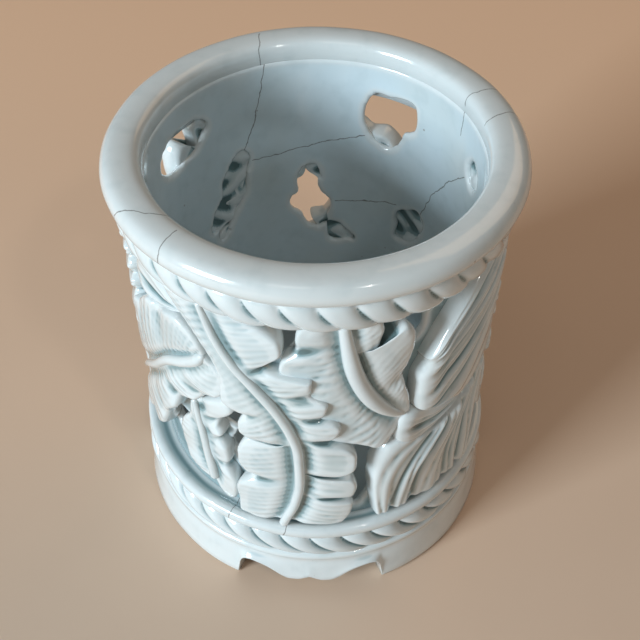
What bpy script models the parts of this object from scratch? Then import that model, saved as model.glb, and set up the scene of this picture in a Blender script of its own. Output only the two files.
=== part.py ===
"""Openwork porcelain brush holder: a round pot whose side is a pierced wall dressed with banana leaves.

Each object is one piece of clay as a potter forms it before the pieces are luted together with slip:
foot ring, floor slab, pierced wall, bead, two rope bands, rim, and for each leaf a blade and a midrib.
+Z is up, the origin is the centre of the base, and the front of the pot faces -Y.
Angles are in degrees round the pot, from the front, and grow towards +X.
"""

import math
from collections import namedtuple

import bmesh
import bpy
from mathutils import Vector

MM = 0.001

# Driving dimensions
HEIGHT = 125.3 * MM
BORE_RADIUS = 43.4 * MM
WALL = 2.5 * MM
RIM_RADIUS = 54.0 * MM
RIM_HEIGHT = 7.6 * MM
FOOT_RADIUS = 53.0 * MM
FOOT_TOP_RADIUS = 51.6 * MM
FOOT_HEIGHT = 15.4 * MM
FOOT_WALL = 7.0 * MM
FLOOR_THICKNESS = 3.5 * MM
LOWER_ROPE_HEIGHT = 8.1 * MM
UPPER_ROPE_HEIGHT = 8.6 * MM
ROPE_RADIUS = 51.4 * MM
BEAD_HEIGHT = 4.7 * MM
BEAD_RADIUS = 51.8 * MM
BLADE_THICKNESS = 1.6 * MM
MIDRIB_RADIUS = 1.0 * MM

# Joints between the clay pieces
SLIP = 0.3 * MM

# Edges and small features
RIM_ROUNDING = 3.0 * MM
RIM_INNER_ROUNDING = 1.8 * MM
FOOT_RIDGE = 1.1 * MM
FOOT_BAND_DEPTH = 0.5 * MM
FOOT_LEDGE = 4.0 * MM
FLOOR_SEAT = 3.0 * MM
ROPE_STRANDS = 36
ROPE_GROOVE = 1.5 * MM
UPPER_STRAND_SKEW = 6.0
LOWER_STRAND_SKEW = 11.0
BLADE_CROWN = 0.4 * MM
TEAR_SPAN = 0.04
TEAR_DEPTH = 0.35

# Bracket feet
FEET = 3
FEET_TURN = -1.5
ARCH_HALF_ANGLE = 23.5
ARCH_HEIGHT = 9.8 * MM
TONGUE_CLEARANCE = 3.8 * MM
TONGUE_HALF_ANGLE = 7.5
CUSP_HEIGHT = 5.8 * MM

# Facets
RING_STEPS = 48
ROUND_STEPS = 2
ROPE_LEVELS = 4
STRAND_COLUMNS = 3
STATIONS = 12
COLUMNS = 4
RIB_STATIONS = 9

# Levels and radii that follow from the driving dimensions
WALL_RADIUS = BORE_RADIUS + WALL
SKIN_RADIUS = WALL_RADIUS + SLIP
FLOOR_BOTTOM = FOOT_HEIGHT + SLIP
WALL_BOTTOM = FLOOR_BOTTOM + FLOOR_THICKNESS + SLIP
RIM_BOTTOM = HEIGHT - RIM_HEIGHT
WALL_TOP = RIM_BOTTOM - SLIP
LOWER_ROPE_BOTTOM = FOOT_HEIGHT + SLIP
BEAD_BOTTOM = LOWER_ROPE_BOTTOM + LOWER_ROPE_HEIGHT + SLIP
UPPER_ROPE_BOTTOM = WALL_TOP - UPPER_ROPE_HEIGHT
PANEL_BOTTOM = BEAD_BOTTOM + BEAD_HEIGHT + SLIP
PANEL_TOP = UPPER_ROPE_BOTTOM - SLIP
PANEL_HEIGHT = PANEL_TOP - PANEL_BOTTOM
BACK_LAYER = SKIN_RADIUS + BLADE_THICKNESS
FRONT_LAYER = BACK_LAYER + BLADE_CROWN + SLIP + BLADE_THICKNESS

# The leaf layout is drawn on a panel that counts as this many degrees high, so it stretches with the panel
PANEL_DEGREES = 91
END_EASE = 3.0 * MM

# A leaf's rib runs from its base to its tip as (angle, share of the panel's height).
# Its half widths, at equal steps along the rib, and its sweep towards the tip are in degrees.
# Notches are the places along the rib where the edge is torn in between two lobes.
FORM_FIELDS = "midrib rib left right left_sweep right_sweep left_notches right_notches"
LeafForm = namedtuple("LeafForm", FORM_FIELDS)
LeafPlace = namedtuple("LeafPlace", "name form front turn lift")

ARCHING = LeafForm(
    midrib=True,
    rib=((-9.5, 0.02), (-5.5, 0.17), (-4.5, 0.34), (-7, 0.51), (-13.5, 0.67), (-22, 0.8), (-31, 0.97)),
    left=(14, 18, 18, 15.5, 13.5, 11, 11),
    right=(17, 18, 18, 15, 15, 16, 15),
    left_sweep=4,
    right_sweep=8,
    left_notches=(0.22, 0.42, 0.58),
    right_notches=(0.14, 0.3, 0.42, 0.6, 0.84),
)
CURLED = LeafForm(
    midrib=True,
    rib=((28, 0.51), (21, 0.56), (16, 0.65), (12, 0.77), (9, 0.89), (7.5, 0.98)),
    left=(11, 17, 17, 15, 13, 10),
    right=(4, 10, 13, 13, 11, 9),
    left_sweep=-12,
    right_sweep=10,
    left_notches=(0.35,),
    right_notches=(0.6,),
)
FANNED = LeafForm(
    midrib=False,
    rib=((31, 0.55), (38, 0.63), (45, 0.72), (52, 0.81), (58, 0.9)),
    left=(3, 13, 17, 14, 8),
    right=(4, 9, 12, 13, 9),
    left_sweep=25,
    right_sweep=25,
    left_notches=(0.36, 0.7),
    right_notches=(0.3, 0.65),
)
TUCKED = LeafForm(
    midrib=False,
    rib=((27, 0.45), (35, 0.43), (44, 0.44), (53, 0.46), (61, 0.46)),
    left=(7, 9, 7, 7, 6),
    right=(6, 8, 9, 8, 6),
    left_sweep=0,
    right_sweep=0,
    left_notches=(0.5,),
    right_notches=(0.5,),
)
DRAPING = LeafForm(
    midrib=False,
    rib=((33, 0.36), (39, 0.3), (43, 0.21), (44, 0.12), (44, 0.04)),
    left=(15, 22, 24, 26, 23),
    right=(15, 17, 17, 15, 12),
    left_sweep=-12,
    right_sweep=-20,
    left_notches=(0.45,),
    right_notches=(0.35, 0.7),
)
SPREADING = LeafForm(
    midrib=True,
    rib=((-36, 0.74), (-45, 0.67), (-54, 0.57), (-63, 0.44), (-73, 0.3)),
    left=(4, 13, 15, 12, 5),
    right=(7, 15, 17, 14, 5),
    left_sweep=12,
    right_sweep=-12,
    left_notches=(0.4, 0.68),
    right_notches=(0.35, 0.65),
)
YOUNG = LeafForm(
    midrib=True,
    rib=((-35, 0.08), (-36, 0.2), (-38, 0.32), (-40, 0.42)),
    left=(6, 11, 10, 5),
    right=(5, 8, 8, 4),
    left_sweep=25,
    right_sweep=25,
    left_notches=(0.5,),
    right_notches=(0.45,),
)

# Angles by which the front leaves are turned for the side and the back of the pot
BACK_TURN = 212
SIDE_TURN = 107
LEAVES = (
    LeafPlace("arching_leaf_1", ARCHING, True, 0, 0),
    LeafPlace("curled_leaf_1", CURLED, False, 0, 0),
    LeafPlace("fanned_leaf_1", FANNED, True, 0, 0),
    LeafPlace("tucked_leaf_1", TUCKED, False, 0, 0),
    LeafPlace("draping_leaf_1", DRAPING, True, 0, 0),
    LeafPlace("spreading_leaf_1", SPREADING, True, 0, 0),
    LeafPlace("young_leaf_1", YOUNG, False, 0, 0),
    LeafPlace("upper_leaf_1", TUCKED, False, -92, 0.46),
    LeafPlace("young_leaf_2", YOUNG, False, SIDE_TURN + 4, 0),
    LeafPlace("arching_leaf_2", ARCHING, True, SIDE_TURN, 0),
    LeafPlace("curled_leaf_2", CURLED, False, SIDE_TURN, 0),
    LeafPlace("draping_leaf_2", DRAPING, False, SIDE_TURN - 9, -0.06),
    LeafPlace("arching_leaf_3", ARCHING, True, BACK_TURN, 0),
    LeafPlace("curled_leaf_3", CURLED, False, BACK_TURN, 0),
    LeafPlace("fanned_leaf_2", FANNED, True, BACK_TURN, 0),
    LeafPlace("tucked_leaf_2", TUCKED, False, BACK_TURN, 0),
    LeafPlace("draping_leaf_3", DRAPING, True, BACK_TURN, 0),
    LeafPlace("spreading_leaf_2", SPREADING, True, BACK_TURN, 0),
    LeafPlace("young_leaf_3", YOUNG, False, BACK_TURN, 0),
)

# Piercings through the wall: middle angle, middle share of the panel, width and height in degrees,
# lean in degrees, and how strongly the outline is lobed.
Piercing = namedtuple("Piercing", "angle share width height lean lobing")
PIERCINGS = (
    Piercing(-10, 0.89, 9, 13, -25, 0.15),
    Piercing(-27, 0.48, 8, 13, -20, 0.2),
    Piercing(-25, 0.3, 5, 8, -15, 0.1),
    Piercing(15, 0.25, 5, 26, 0, 0.1),
    Piercing(23, 0.92, 6, 8, 15, 0.15),
    Piercing(33, 0.91, 6, 9, 25, 0.1),
    Piercing(-44, 0.92, 7, 9, 30, 0.15),
    Piercing(-54, 0.18, 9, 11, 30, 0.15),
    Piercing(80, 0.48, 8, 13, -20, 0.2),
    Piercing(104, 0.92, 8, 8, 0, 0.2),
    Piercing(122, 0.25, 5, 24, 0, 0.1),
    Piercing(139, 0.49, 11, 8, -30, 0.2),
    Piercing(150, 0.91, 14, 10, 10, 0.15),
    Piercing(173, 0.34, 4, 7, 0, 0.1),
    Piercing(183, 0.52, 10, 22, 0, 0.25),
    Piercing(213, 0.58, 8, 24, -15, 0.15),
    Piercing(227, 0.25, 5, 24, 0, 0.1),
    Piercing(242, 0.92, 12, 9, -10, 0.2),
)
PIERCING_POINTS = 10


def smooth(values, u):
    """The smooth curve through equally spaced values, at u from 0 to 1 (Catmull-Rom)."""
    last = len(values) - 1
    x = min(max(u, 0.0), 1.0) * last
    i = min(int(x), last - 1)
    f = x - i
    p1 = values[i]
    p2 = values[i + 1]
    p0 = values[i - 1] if i > 0 else 2 * p1 - p2
    p3 = values[i + 2] if i + 2 <= last else 2 * p2 - p1
    bend = (2 * p0 - 5 * p1 + 4 * p2 - p3) * f * f + (3 * p1 - p0 - 3 * p2 + p3) * f**3
    return 0.5 * (2 * p1 + (p2 - p0) * f + bend)


def on_pot(angle, height, radius):
    a = math.radians(angle)
    return Vector((radius * math.sin(a), -radius * math.cos(a), height))


def panel_height(share):
    """Height of a place in the leaf panel. Near its ends the share is eased, so nothing passes them."""
    ease = END_EASE / PANEL_HEIGHT
    if share > 1 - ease:
        share = 1 - ease * math.exp(-(share - 1 + ease) / ease)
    elif share < ease:
        share = ease * math.exp((share - ease) / ease)
    return PANEL_BOTTOM + share * PANEL_HEIGHT


def clear_scene():
    for obj in list(bpy.data.objects):
        bpy.data.objects.remove(obj)


def new_collection(name):
    collection = bpy.data.collections.new(name)
    bpy.context.scene.collection.children.link(collection)
    return collection


def porcelain(name, colour, roughness):
    material = bpy.data.materials.new(name)
    material.use_nodes = True
    shader = material.node_tree.nodes["Principled BSDF"]
    shader.inputs["Base Color"].default_value = (*colour, 1.0)
    shader.inputs["Roughness"].default_value = roughness
    shader.inputs["Metallic"].default_value = 0.0
    return material


def add_object(name, data, collection, material):
    obj = bpy.data.objects.new(name, data)
    collection.objects.link(obj)
    data.materials.append(material)
    return obj


def finish_mesh(bm, name):
    """Closes the bmesh into a mesh with its faces out and soft shading."""
    bmesh.ops.recalc_face_normals(bm, faces=bm.faces)
    mesh = bpy.data.meshes.new(name)
    bm.to_mesh(mesh)
    bm.free()
    mesh.shade_smooth()
    mesh.set_sharp_from_angle(angle=math.radians(40))
    return mesh


def arc(centre_r, centre_z, radius, start, end, steps):
    """Points of an arc in the profile plane, from the start angle to the end angle in degrees."""
    points = []
    for i in range(steps + 1):
        a = math.radians(start + (end - start) * i / steps)
        points.append((centre_r + radius * math.cos(a), centre_z + radius * math.sin(a)))
    return points


def turned(name, profile, collection, material, steps=RING_STEPS):
    """A ring or disc turned about Z. The profile starts at the top of its outer side and runs down it."""
    bm = bmesh.new()
    points = [bm.verts.new((r, 0.0, z)) for r, z in profile]
    for i, point in enumerate(points):
        following = points[(i + 1) % len(points)]
        on_axis = point.co.x == 0.0 and following.co.x == 0.0
        if not on_axis:
            bm.edges.new((point, following))
    mesh = bpy.data.meshes.new(name)
    bm.to_mesh(mesh)
    bm.free()
    obj = add_object(name, mesh, collection, material)
    screw = obj.modifiers.new("Turn", "SCREW")
    screw.steps = steps
    screw.render_steps = steps
    screw.use_merge_vertices = True
    screw.merge_threshold = 0.00001
    screw.use_smooth_shade = True
    return obj


def cut(obj, cutter):
    boolean = obj.modifiers.new("Cut", "BOOLEAN")
    boolean.operation = "DIFFERENCE"
    boolean.solver = "EXACT"
    boolean.object = cutter


def make_rim(collection, material):
    middle = RIM_BOTTOM + RIM_HEIGHT / 2
    profile = arc(RIM_RADIUS - RIM_ROUNDING, HEIGHT - RIM_ROUNDING, RIM_ROUNDING, 90, 0, ROUND_STEPS)
    profile.append((RIM_RADIUS, middle))
    profile.append((RIM_RADIUS - RIM_ROUNDING / 2, RIM_BOTTOM))
    profile.append((BORE_RADIUS, RIM_BOTTOM))
    inner = RIM_INNER_ROUNDING
    profile += arc(BORE_RADIUS + inner, HEIGHT - inner, inner, 180, 90, ROUND_STEPS)
    return turned("rim_ring", profile, collection, material)


def make_bead(collection, material):
    """A half-round moulding that stands on the lower rope band."""
    reach = BEAD_RADIUS - SKIN_RADIUS
    rise = BEAD_HEIGHT / 2
    middle = BEAD_BOTTOM + rise
    profile = []
    for i in range(2 * ROUND_STEPS + 1):
        a = math.radians(90 - 90 * i / ROUND_STEPS)
        flat = abs(math.cos(a)) ** 0.6
        profile.append((SKIN_RADIUS + reach * (0.45 + 0.55 * flat), middle + rise * math.sin(a)))
    profile.append((SKIN_RADIUS, BEAD_BOTTOM))
    profile.append((SKIN_RADIUS, BEAD_BOTTOM + BEAD_HEIGHT))
    return turned("bead_ring", profile, collection, material)


def make_floor(collection, material):
    top = FLOOR_BOTTOM + FLOOR_THICKNESS
    profile = [(0.0, top), (WALL_RADIUS, top), (WALL_RADIUS, FLOOR_BOTTOM), (0.0, FLOOR_BOTTOM)]
    return turned("floor_slab", profile, collection, material)


def make_rope(name, bottom, height, skew, collection, material):
    """A twisted coil: a band turned with bmesh's spin, then swollen into strands that slant by the skew."""
    bm = bmesh.new()
    rows = [(SKIN_RADIUS, bottom + height), (SKIN_RADIUS, bottom)]
    for i in range(ROPE_LEVELS):
        share = i / (ROPE_LEVELS - 1)
        belly = math.sin(math.pi * (0.15 + 0.7 * share))
        radius = SKIN_RADIUS + (ROPE_RADIUS - SKIN_RADIUS) * belly
        rows.append((radius, bottom + height * share))
    corners = [bm.verts.new((r, 0.0, z)) for r, z in rows]
    edges = [bm.edges.new((a, b)) for a, b in zip(corners, corners[1:] + corners[:1])]
    steps = ROPE_STRANDS * STRAND_COLUMNS
    turn = 2 * math.pi
    bmesh.ops.spin(bm, geom=corners + edges, axis=(0, 0, 1), angle=turn, steps=steps, use_merge=True)
    for vert in bm.verts:
        radius = math.hypot(vert.co.x, vert.co.y)
        if radius < SKIN_RADIUS + SLIP:
            continue
        angle = math.degrees(math.atan2(vert.co.x, -vert.co.y))
        share = (vert.co.z - bottom) / height
        column = round(angle * steps / 360) % STRAND_COLUMNS
        across = 2 * column / STRAND_COLUMNS - 1
        radius -= ROPE_GROOVE * (1 - math.sqrt(1 - across * across))
        vert.co = on_pot(angle - skew * (share - 0.5), vert.co.z, radius)
    return add_object(name, finish_mesh(bm, name), collection, material)


def prism_cutter(name, outline, inner, outer, cutters):
    """A cutter between two radii. Its outline of (angle, height) is anticlockwise seen from outside."""
    bm = bmesh.new()
    near = [bm.verts.new(on_pot(a, z, inner)) for a, z in outline]
    far = [bm.verts.new(on_pot(a, z, outer)) for a, z in outline]
    caps = [bm.faces.new(near[::-1]), bm.faces.new(far)]
    count = len(outline)
    for i in range(count):
        k = (i + 1) % count
        bm.faces.new((near[i], near[k], far[k], far[i]))
    bmesh.ops.triangulate(bm, faces=caps)
    mesh = bpy.data.meshes.new(name)
    bm.to_mesh(mesh)
    bm.free()
    obj = bpy.data.objects.new(name, mesh)
    cutters.objects.link(obj)
    obj.hide_render = True
    obj.display_type = "WIRE"
    return obj


def arch_outline(middle):
    """The gap between two feet: two arches with a bracket-shaped tongue hanging between them."""
    below = -5 * MM
    half = [
        (ARCH_HALF_ANGLE, below),
        (ARCH_HALF_ANGLE, 0.5 * ARCH_HEIGHT),
        (ARCH_HALF_ANGLE - 2, 0.88 * ARCH_HEIGHT),
        (ARCH_HALF_ANGLE - 5, ARCH_HEIGHT),
        (ARCH_HALF_ANGLE - 8, 0.9 * ARCH_HEIGHT),
        (TONGUE_HALF_ANGLE + 3.5, 0.62 * ARCH_HEIGHT),
        (TONGUE_HALF_ANGLE, TONGUE_CLEARANCE + 0.8 * MM),
        (TONGUE_HALF_ANGLE - 3, TONGUE_CLEARANCE),
        (2.0, TONGUE_CLEARANCE + 0.4 * MM),
    ]
    right = [(middle + a, z) for a, z in half]
    left = [(middle - a, z) for a, z in reversed(half)]
    return right + [(middle, CUSP_HEIGHT)] + left


def make_foot(collection, cutters, material):
    """A flared band under a small ridge, cut into three bracket feet, with a ledge under the floor."""
    inner = FOOT_RADIUS - FOOT_WALL
    seat = WALL_RADIUS - FLOOR_SEAT
    band = FOOT_TOP_RADIUS - FOOT_BAND_DEPTH
    profile = arc(FOOT_TOP_RADIUS - FOOT_RIDGE, FOOT_HEIGHT - FOOT_RIDGE, FOOT_RIDGE, 90, -50, 3)
    profile += [(band, FOOT_HEIGHT - 3 * FOOT_RIDGE), (FOOT_RADIUS, 0.0), (inner, 0.0)]
    profile += [(inner, FOOT_HEIGHT - FOOT_LEDGE), (seat, FOOT_HEIGHT - FOOT_LEDGE), (seat, FOOT_HEIGHT)]
    foot = turned("foot_ring", profile, collection, material)
    for i in range(FEET):
        outline = arch_outline(FEET_TURN + 360 / FEET * i)
        cutter = prism_cutter(f"arch_cutter_{i + 1}", outline, 0.6 * inner, 1.2 * FOOT_RADIUS, cutters)
        cut(foot, cutter)
    return foot


def piercing_outline(hole):
    """A closed, softly lobed outline round the middle of the opening."""
    lean = math.radians(hole.lean)
    points = []
    for i in range(PIERCING_POINTS):
        a = 2 * math.pi * i / PIERCING_POINTS
        swell = 1 + hole.lobing * math.cos(3 * a + math.radians(hole.angle))
        across = 0.5 * hole.width * swell * math.cos(a)
        along = 0.5 * hole.height * swell * math.sin(a)
        angle = across * math.cos(lean) + along * math.sin(lean)
        rise = (along * math.cos(lean) - across * math.sin(lean)) / PANEL_DEGREES
        points.append((hole.angle + angle, panel_height(hole.share + rise)))
    return points


def make_wall(collection, cutters, material):
    profile = [
        (WALL_RADIUS, WALL_TOP),
        (WALL_RADIUS, WALL_BOTTOM),
        (BORE_RADIUS, WALL_BOTTOM),
        (BORE_RADIUS, WALL_TOP),
    ]
    wall = turned("pierced_wall", profile, collection, material)
    for i, hole in enumerate(PIERCINGS):
        outline = piercing_outline(hole)
        cutter = prism_cutter(f"piercing_{i + 1}", outline, BORE_RADIUS - WALL, WALL_RADIUS + WALL, cutters)
        cut(wall, cutter)
    return wall


def rib_place(form, s):
    """(angle, share) of the rib at s, from 0 at the base to 1 at the tip."""
    return smooth([p[0] for p in form.rib], s), smooth([p[1] for p in form.rib], s)


def rib_heading(form, s):
    """Unit direction of the rib on the panel, in degrees."""
    step = 0.02
    a0, h0 = rib_place(form, max(0.0, s - step))
    a1, h1 = rib_place(form, min(1.0, s + step))
    return Vector((a1 - a0, (h1 - h0) * PANEL_DEGREES)).normalized()


def half_width(widths, notches, s):
    """Width of one half in degrees, drawn in at each torn notch."""
    tear = sum(math.exp(-(((s - n) / TEAR_SPAN) ** 2)) for n in notches)
    return max(1.0, smooth(widths, s) * (1 - TEAR_DEPTH * tear))


def blade_place(leaf, s, t):
    """(angle, height) of the blade at s along the rib and t across it, from -1 on the left to 1."""
    form = leaf.form
    angle, share = rib_place(form, s)
    along = rib_heading(form, s)
    side = 1 if t > 0 else -1
    outward = Vector((along.y, -along.x)) * side
    sweep = math.radians(form.right_sweep if t > 0 else form.left_sweep)
    widths = form.right if t > 0 else form.left
    notches = form.right_notches if t > 0 else form.left_notches
    reach = abs(t) * half_width(widths, notches, s)
    shift = (outward * math.cos(sweep) + along * math.sin(sweep)) * reach
    share += leaf.lift + shift.y / PANEL_DEGREES
    return angle + leaf.turn + shift.x, panel_height(share)


def make_blade(leaf, collection, material):
    """A sheet of clay laid on the pot's side, thickened inwards."""
    name = f"{leaf.name}_blade"
    layer = FRONT_LAYER if leaf.front else BACK_LAYER
    bm = bmesh.new()
    bmesh.ops.create_grid(bm, x_segments=COLUMNS, y_segments=STATIONS, size=1)
    for vert in bm.verts:
        t = vert.co.x
        s = (vert.co.y + 1) / 2
        angle, height = blade_place(leaf, s, t)
        crown = BLADE_CROWN * math.sin(math.pi * abs(t))
        vert.co = on_pot(angle, height, layer + crown)
    mesh = bpy.data.meshes.new(name)
    bm.to_mesh(mesh)
    bm.free()
    mesh.shade_smooth()
    blade = add_object(name, mesh, collection, material)
    solidify = blade.modifiers.new("Thickness", "SOLIDIFY")
    solidify.thickness = BLADE_THICKNESS
    solidify.offset = -1
    return blade


def make_midrib(leaf, collection, material):
    """A tapering coil laid along the middle of the blade."""
    name = f"{leaf.name}_midrib"
    layer = FRONT_LAYER if leaf.front else BACK_LAYER
    centre = layer + SLIP + MIDRIB_RADIUS
    curve = bpy.data.curves.new(name, "CURVE")
    curve.dimensions = "3D"
    curve.bevel_depth = MIDRIB_RADIUS
    curve.bevel_resolution = 1
    curve.use_fill_caps = True
    line = curve.splines.new("POLY")
    line.points.add(RIB_STATIONS - 1)
    for i, point in enumerate(line.points):
        s = 0.04 + 0.9 * i / (RIB_STATIONS - 1)
        angle, share = rib_place(leaf.form, s)
        point.co = (*on_pot(angle + leaf.turn, panel_height(share + leaf.lift), centre), 1.0)
        point.radius = 1.0 - 0.35 * s
    return add_object(name, curve, collection, material)


def main():
    clear_scene()
    pot = new_collection("brush_holder_pot")
    cutters = new_collection("cutters")
    glaze = porcelain("celadon_glaze", (0.70, 0.79, 0.79), 0.16)
    biscuit = porcelain("foot_glaze", (0.66, 0.75, 0.76), 0.22)
    make_foot(pot, cutters, biscuit)
    make_floor(pot, glaze)
    make_wall(pot, cutters, glaze)
    make_rope("lower_rope_band", LOWER_ROPE_BOTTOM, LOWER_ROPE_HEIGHT, LOWER_STRAND_SKEW, pot, glaze)
    make_bead(pot, glaze)
    make_rope("upper_rope_band", UPPER_ROPE_BOTTOM, UPPER_ROPE_HEIGHT, UPPER_STRAND_SKEW, pot, glaze)
    make_rim(pot, glaze)
    for leaf in LEAVES:
        make_blade(leaf, pot, glaze)
        if leaf.form.midrib:
            make_midrib(leaf, pot, glaze)


main()
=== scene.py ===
# %% [markdown]
# # An openwork porcelain brush holder
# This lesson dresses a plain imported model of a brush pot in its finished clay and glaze. The real pot is
# one fired piece: a thin pierced wall, banana leaves laid over it, a rope band above and below them, a
# thick rim and a foot cut into brackets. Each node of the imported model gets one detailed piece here, and
# the pieces sink a little into each other, so that the pot reads as one body under one glaze.

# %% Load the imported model
import math

import bpy
import numpy as np
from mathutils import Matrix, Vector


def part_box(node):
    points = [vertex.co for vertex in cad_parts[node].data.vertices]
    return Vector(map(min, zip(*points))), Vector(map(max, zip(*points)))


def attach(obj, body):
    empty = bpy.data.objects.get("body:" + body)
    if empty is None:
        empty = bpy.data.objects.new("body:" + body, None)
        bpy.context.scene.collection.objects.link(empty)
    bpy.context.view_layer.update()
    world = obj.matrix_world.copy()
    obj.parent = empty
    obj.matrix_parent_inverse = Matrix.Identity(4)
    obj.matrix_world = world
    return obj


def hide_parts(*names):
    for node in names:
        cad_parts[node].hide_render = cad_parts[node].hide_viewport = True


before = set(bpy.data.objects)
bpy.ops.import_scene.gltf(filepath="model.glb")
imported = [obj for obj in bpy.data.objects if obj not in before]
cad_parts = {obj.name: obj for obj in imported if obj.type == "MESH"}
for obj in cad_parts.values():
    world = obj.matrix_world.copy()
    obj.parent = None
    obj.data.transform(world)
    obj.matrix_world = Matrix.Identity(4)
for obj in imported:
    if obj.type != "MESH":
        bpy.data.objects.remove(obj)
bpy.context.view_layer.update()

# %% [markdown]
# ## Sizes
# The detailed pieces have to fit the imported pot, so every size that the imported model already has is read
# from it, in millimetres. Typing the sizes in again would work too, but they would go wrong when the pot
# changes. A place on the pot is given by its angle round the pot in degrees, from the front towards +X, its
# height, and its distance from the axis, because everything on a round pot repeats or bends round that
# axis.

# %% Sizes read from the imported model
MM = 0.001


def low(node):
    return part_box(node)[0][2] / MM


def high(node):
    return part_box(node)[1][2] / MM


def outside(node):
    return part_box(node)[1][0] / MM


def bore(node):
    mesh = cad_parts[node].data
    return min(math.hypot(v.co.x, v.co.y) for v in mesh.vertices) / MM


BORE = bore("pierced_wall")
WALL_OUTSIDE = outside("pierced_wall")
PANEL_LOW = high("bead_ring")
PANEL_HIGH = low("upper_rope_band")
ARC = math.radians(1) * outside("upper_rope_band")
print("bore", round(BORE, 2), "wall", round(WALL_OUTSIDE, 2))
print("panel from", round(PANEL_LOW, 2), "to", round(PANEL_HIGH, 2))


# %% Places on the pot
def on_pot(angle, height, radius):
    """Points in metres from arrays of angles in degrees and heights and distances in millimetres."""
    turn = np.radians(angle)
    return np.stack([radius * np.sin(turn), -radius * np.cos(turn), height + 0 * turn], axis=-1) * MM


def read_points(piece):
    places = np.empty(len(piece.data.vertices) * 3)
    piece.data.vertices.foreach_get("co", places)
    return places.reshape(-1, 3)


def write_points(piece, places):
    piece.data.vertices.foreach_set("co", np.ascontiguousarray(places, dtype=float).ravel())
    piece.data.update()


def round_pot(piece):
    """Angle, height and distance from the axis of every point of a piece."""
    x, y, z = read_points(piece).T / MM
    return np.degrees(np.arctan2(x, -y)), z, np.hypot(x, y)


# %% [markdown]
# A hand-thrown pot is never quite round: it sags a little in the kiln. A Wave modifier could bend each
# piece, but pieces bent one by one would part. One wave of the angle and the height goes into all of them
# instead.

# %% The warp of the clay
def warp(angle, height):
    turn = np.radians(angle)
    slow = 0.22 * np.sin(2 * turn + 0.6 + height / 60) + 0.14 * np.sin(3 * turn + 2.0 - height / 45)
    return slow + 0.05 * np.sin(9 * turn + height / 14) + 0.03 * np.sin(17 * turn - height / 6)


def settle(piece):
    """Bends a finished piece with the warp of the pot."""
    angle, height, radius = round_pot(piece)
    write_points(piece, on_pot(angle, height, radius + warp(angle, height)))


# %% [markdown]
# ## Curves through a few places
# A leaf's rib and its torn edge are each given by a few listed places. A Bezier curve could join them, but it
# swings out beyond a sharp turn. A curve that is rounded at every turn and never passes beyond it is what a
# knife cut in clay looks like, so this function draws all of them.

# %% Smooth curves through chosen places
def flow(keys, at):
    """Values of the curve through keys (rows of position, value, value...) at the given positions."""
    keys = np.array(keys, dtype=float)
    start, value = keys[:, 0], keys[:, 1:]
    gap = np.diff(start)[:, None]
    slope = np.diff(value, axis=0) / gap
    tangent = np.zeros_like(value)
    before, after = slope[:-1], slope[1:]
    same = before * after > 0
    total = np.where(same, before + after, 1.0)
    tangent[1:-1] = np.where(same, 2 * before * after / total, 0.0)
    tangent[0], tangent[-1] = slope[0], slope[-1]
    i = np.clip(np.searchsorted(start, at, side="right") - 1, 0, len(start) - 2)
    f = ((at - start[i]) / gap[i, 0])[:, None]
    rise = f * f * (3 - 2 * f)
    lead = f * (1 - f) ** 2 * gap[i] * tangent[i]
    trail = f * f * (f - 1) * gap[i] * tangent[i + 1]
    return value[i] * (1 - rise) + value[i + 1] * rise + lead + trail


def line_length(places):
    places = np.array(places, dtype=float)
    steps = np.hypot(np.diff(places[:, 0]) * ARC, np.diff(places[:, 1]))
    return np.concatenate([[0], np.cumsum(steps)])


def along_line(places, share):
    """Places at shares of the length of the curve through (angle, height) places."""
    reach = line_length(places)
    return flow(np.column_stack([reach / reach[-1], places]), share)


def ease(low_end, high_end, x):
    f = np.clip((x - low_end) / (high_end - low_end), 0, 1)
    return f * f * (3 - 2 * f)


def round_over(depth, rounding):
    """How far a surface has dropped at a depth in from its edge, for an edge of that rounding."""
    short = np.clip(rounding - depth, 0, rounding)
    return rounding - np.sqrt(rounding**2 - short**2)


# %% [markdown]
# ## Glaze
# A pale celadon glaze is glassy and slightly blue. It runs thin and white over ridges and gathers blue-green
# in hollows. The hollows are darkened further by painted shade, and the deepest ones nearly to black. The
# Pointiness of the Geometry node could show that, but it changes with the spacing of the mesh. Here how
# hollow the clay is at each point is measured on the mesh: the surface is smoothed, and a point that lies
# under the smoothed surface is in a hollow. The material reads that as an attribute, so it looks the same
# from every side.

# %% Measure the hollows
GROUND_TOP = WALL_OUTSIDE + 2.8
GROUND_FADE = 2.8
INNER_SKIN = 1.3
DEEPEST = 1.6


def mark_hollows(piece, rounds, depth, ground):
    """Stores the hollow attribute: 1 where a point lies depth mm under its surroundings, -1 over them.

    The surroundings reach as far as that many rounds of smoothing. The low ground of the relief, from
    GROUND_TOP mm off the axis inwards, also counts as hollow by that share, so that pooled glaze and painted
    shade darken it."""
    mesh = piece.data
    count = len(mesh.vertices)
    edges = np.empty(len(mesh.edges) * 2, dtype=np.int32)
    mesh.edges.foreach_get("vertices", edges)
    a, b = edges.reshape(-1, 2).T
    linked = np.bincount(edges, minlength=count)[:, None]
    place = read_points(piece)
    soft = place.copy()
    for _ in range(rounds):
        drawn = [np.bincount(a, soft[b, k], count) + np.bincount(b, soft[a, k], count) for k in range(3)]
        soft = np.stack(drawn, axis=1) / linked
    normal = np.empty(count * 3)
    mesh.vertices.foreach_get("normal", normal)
    sunk = ((soft - place) * normal.reshape(-1, 3)).sum(axis=1) / (depth * MM)
    distance = np.hypot(place[:, 0], place[:, 1]) / MM
    # Pooled glaze and painted shade on the low ground between the leaves, growing towards the wall.
    low_ground_pool_and_shade = np.clip((GROUND_TOP - distance) / GROUND_FADE, 0, 1) * (distance > BORE + INNER_SKIN)
    sunk = sunk + ground * low_ground_pool_and_shade
    attribute = mesh.attributes.new("hollow", "FLOAT", "POINT")
    attribute.data.foreach_set("value", np.clip(sunk, -1, DEEPEST).astype(np.float32))


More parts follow.
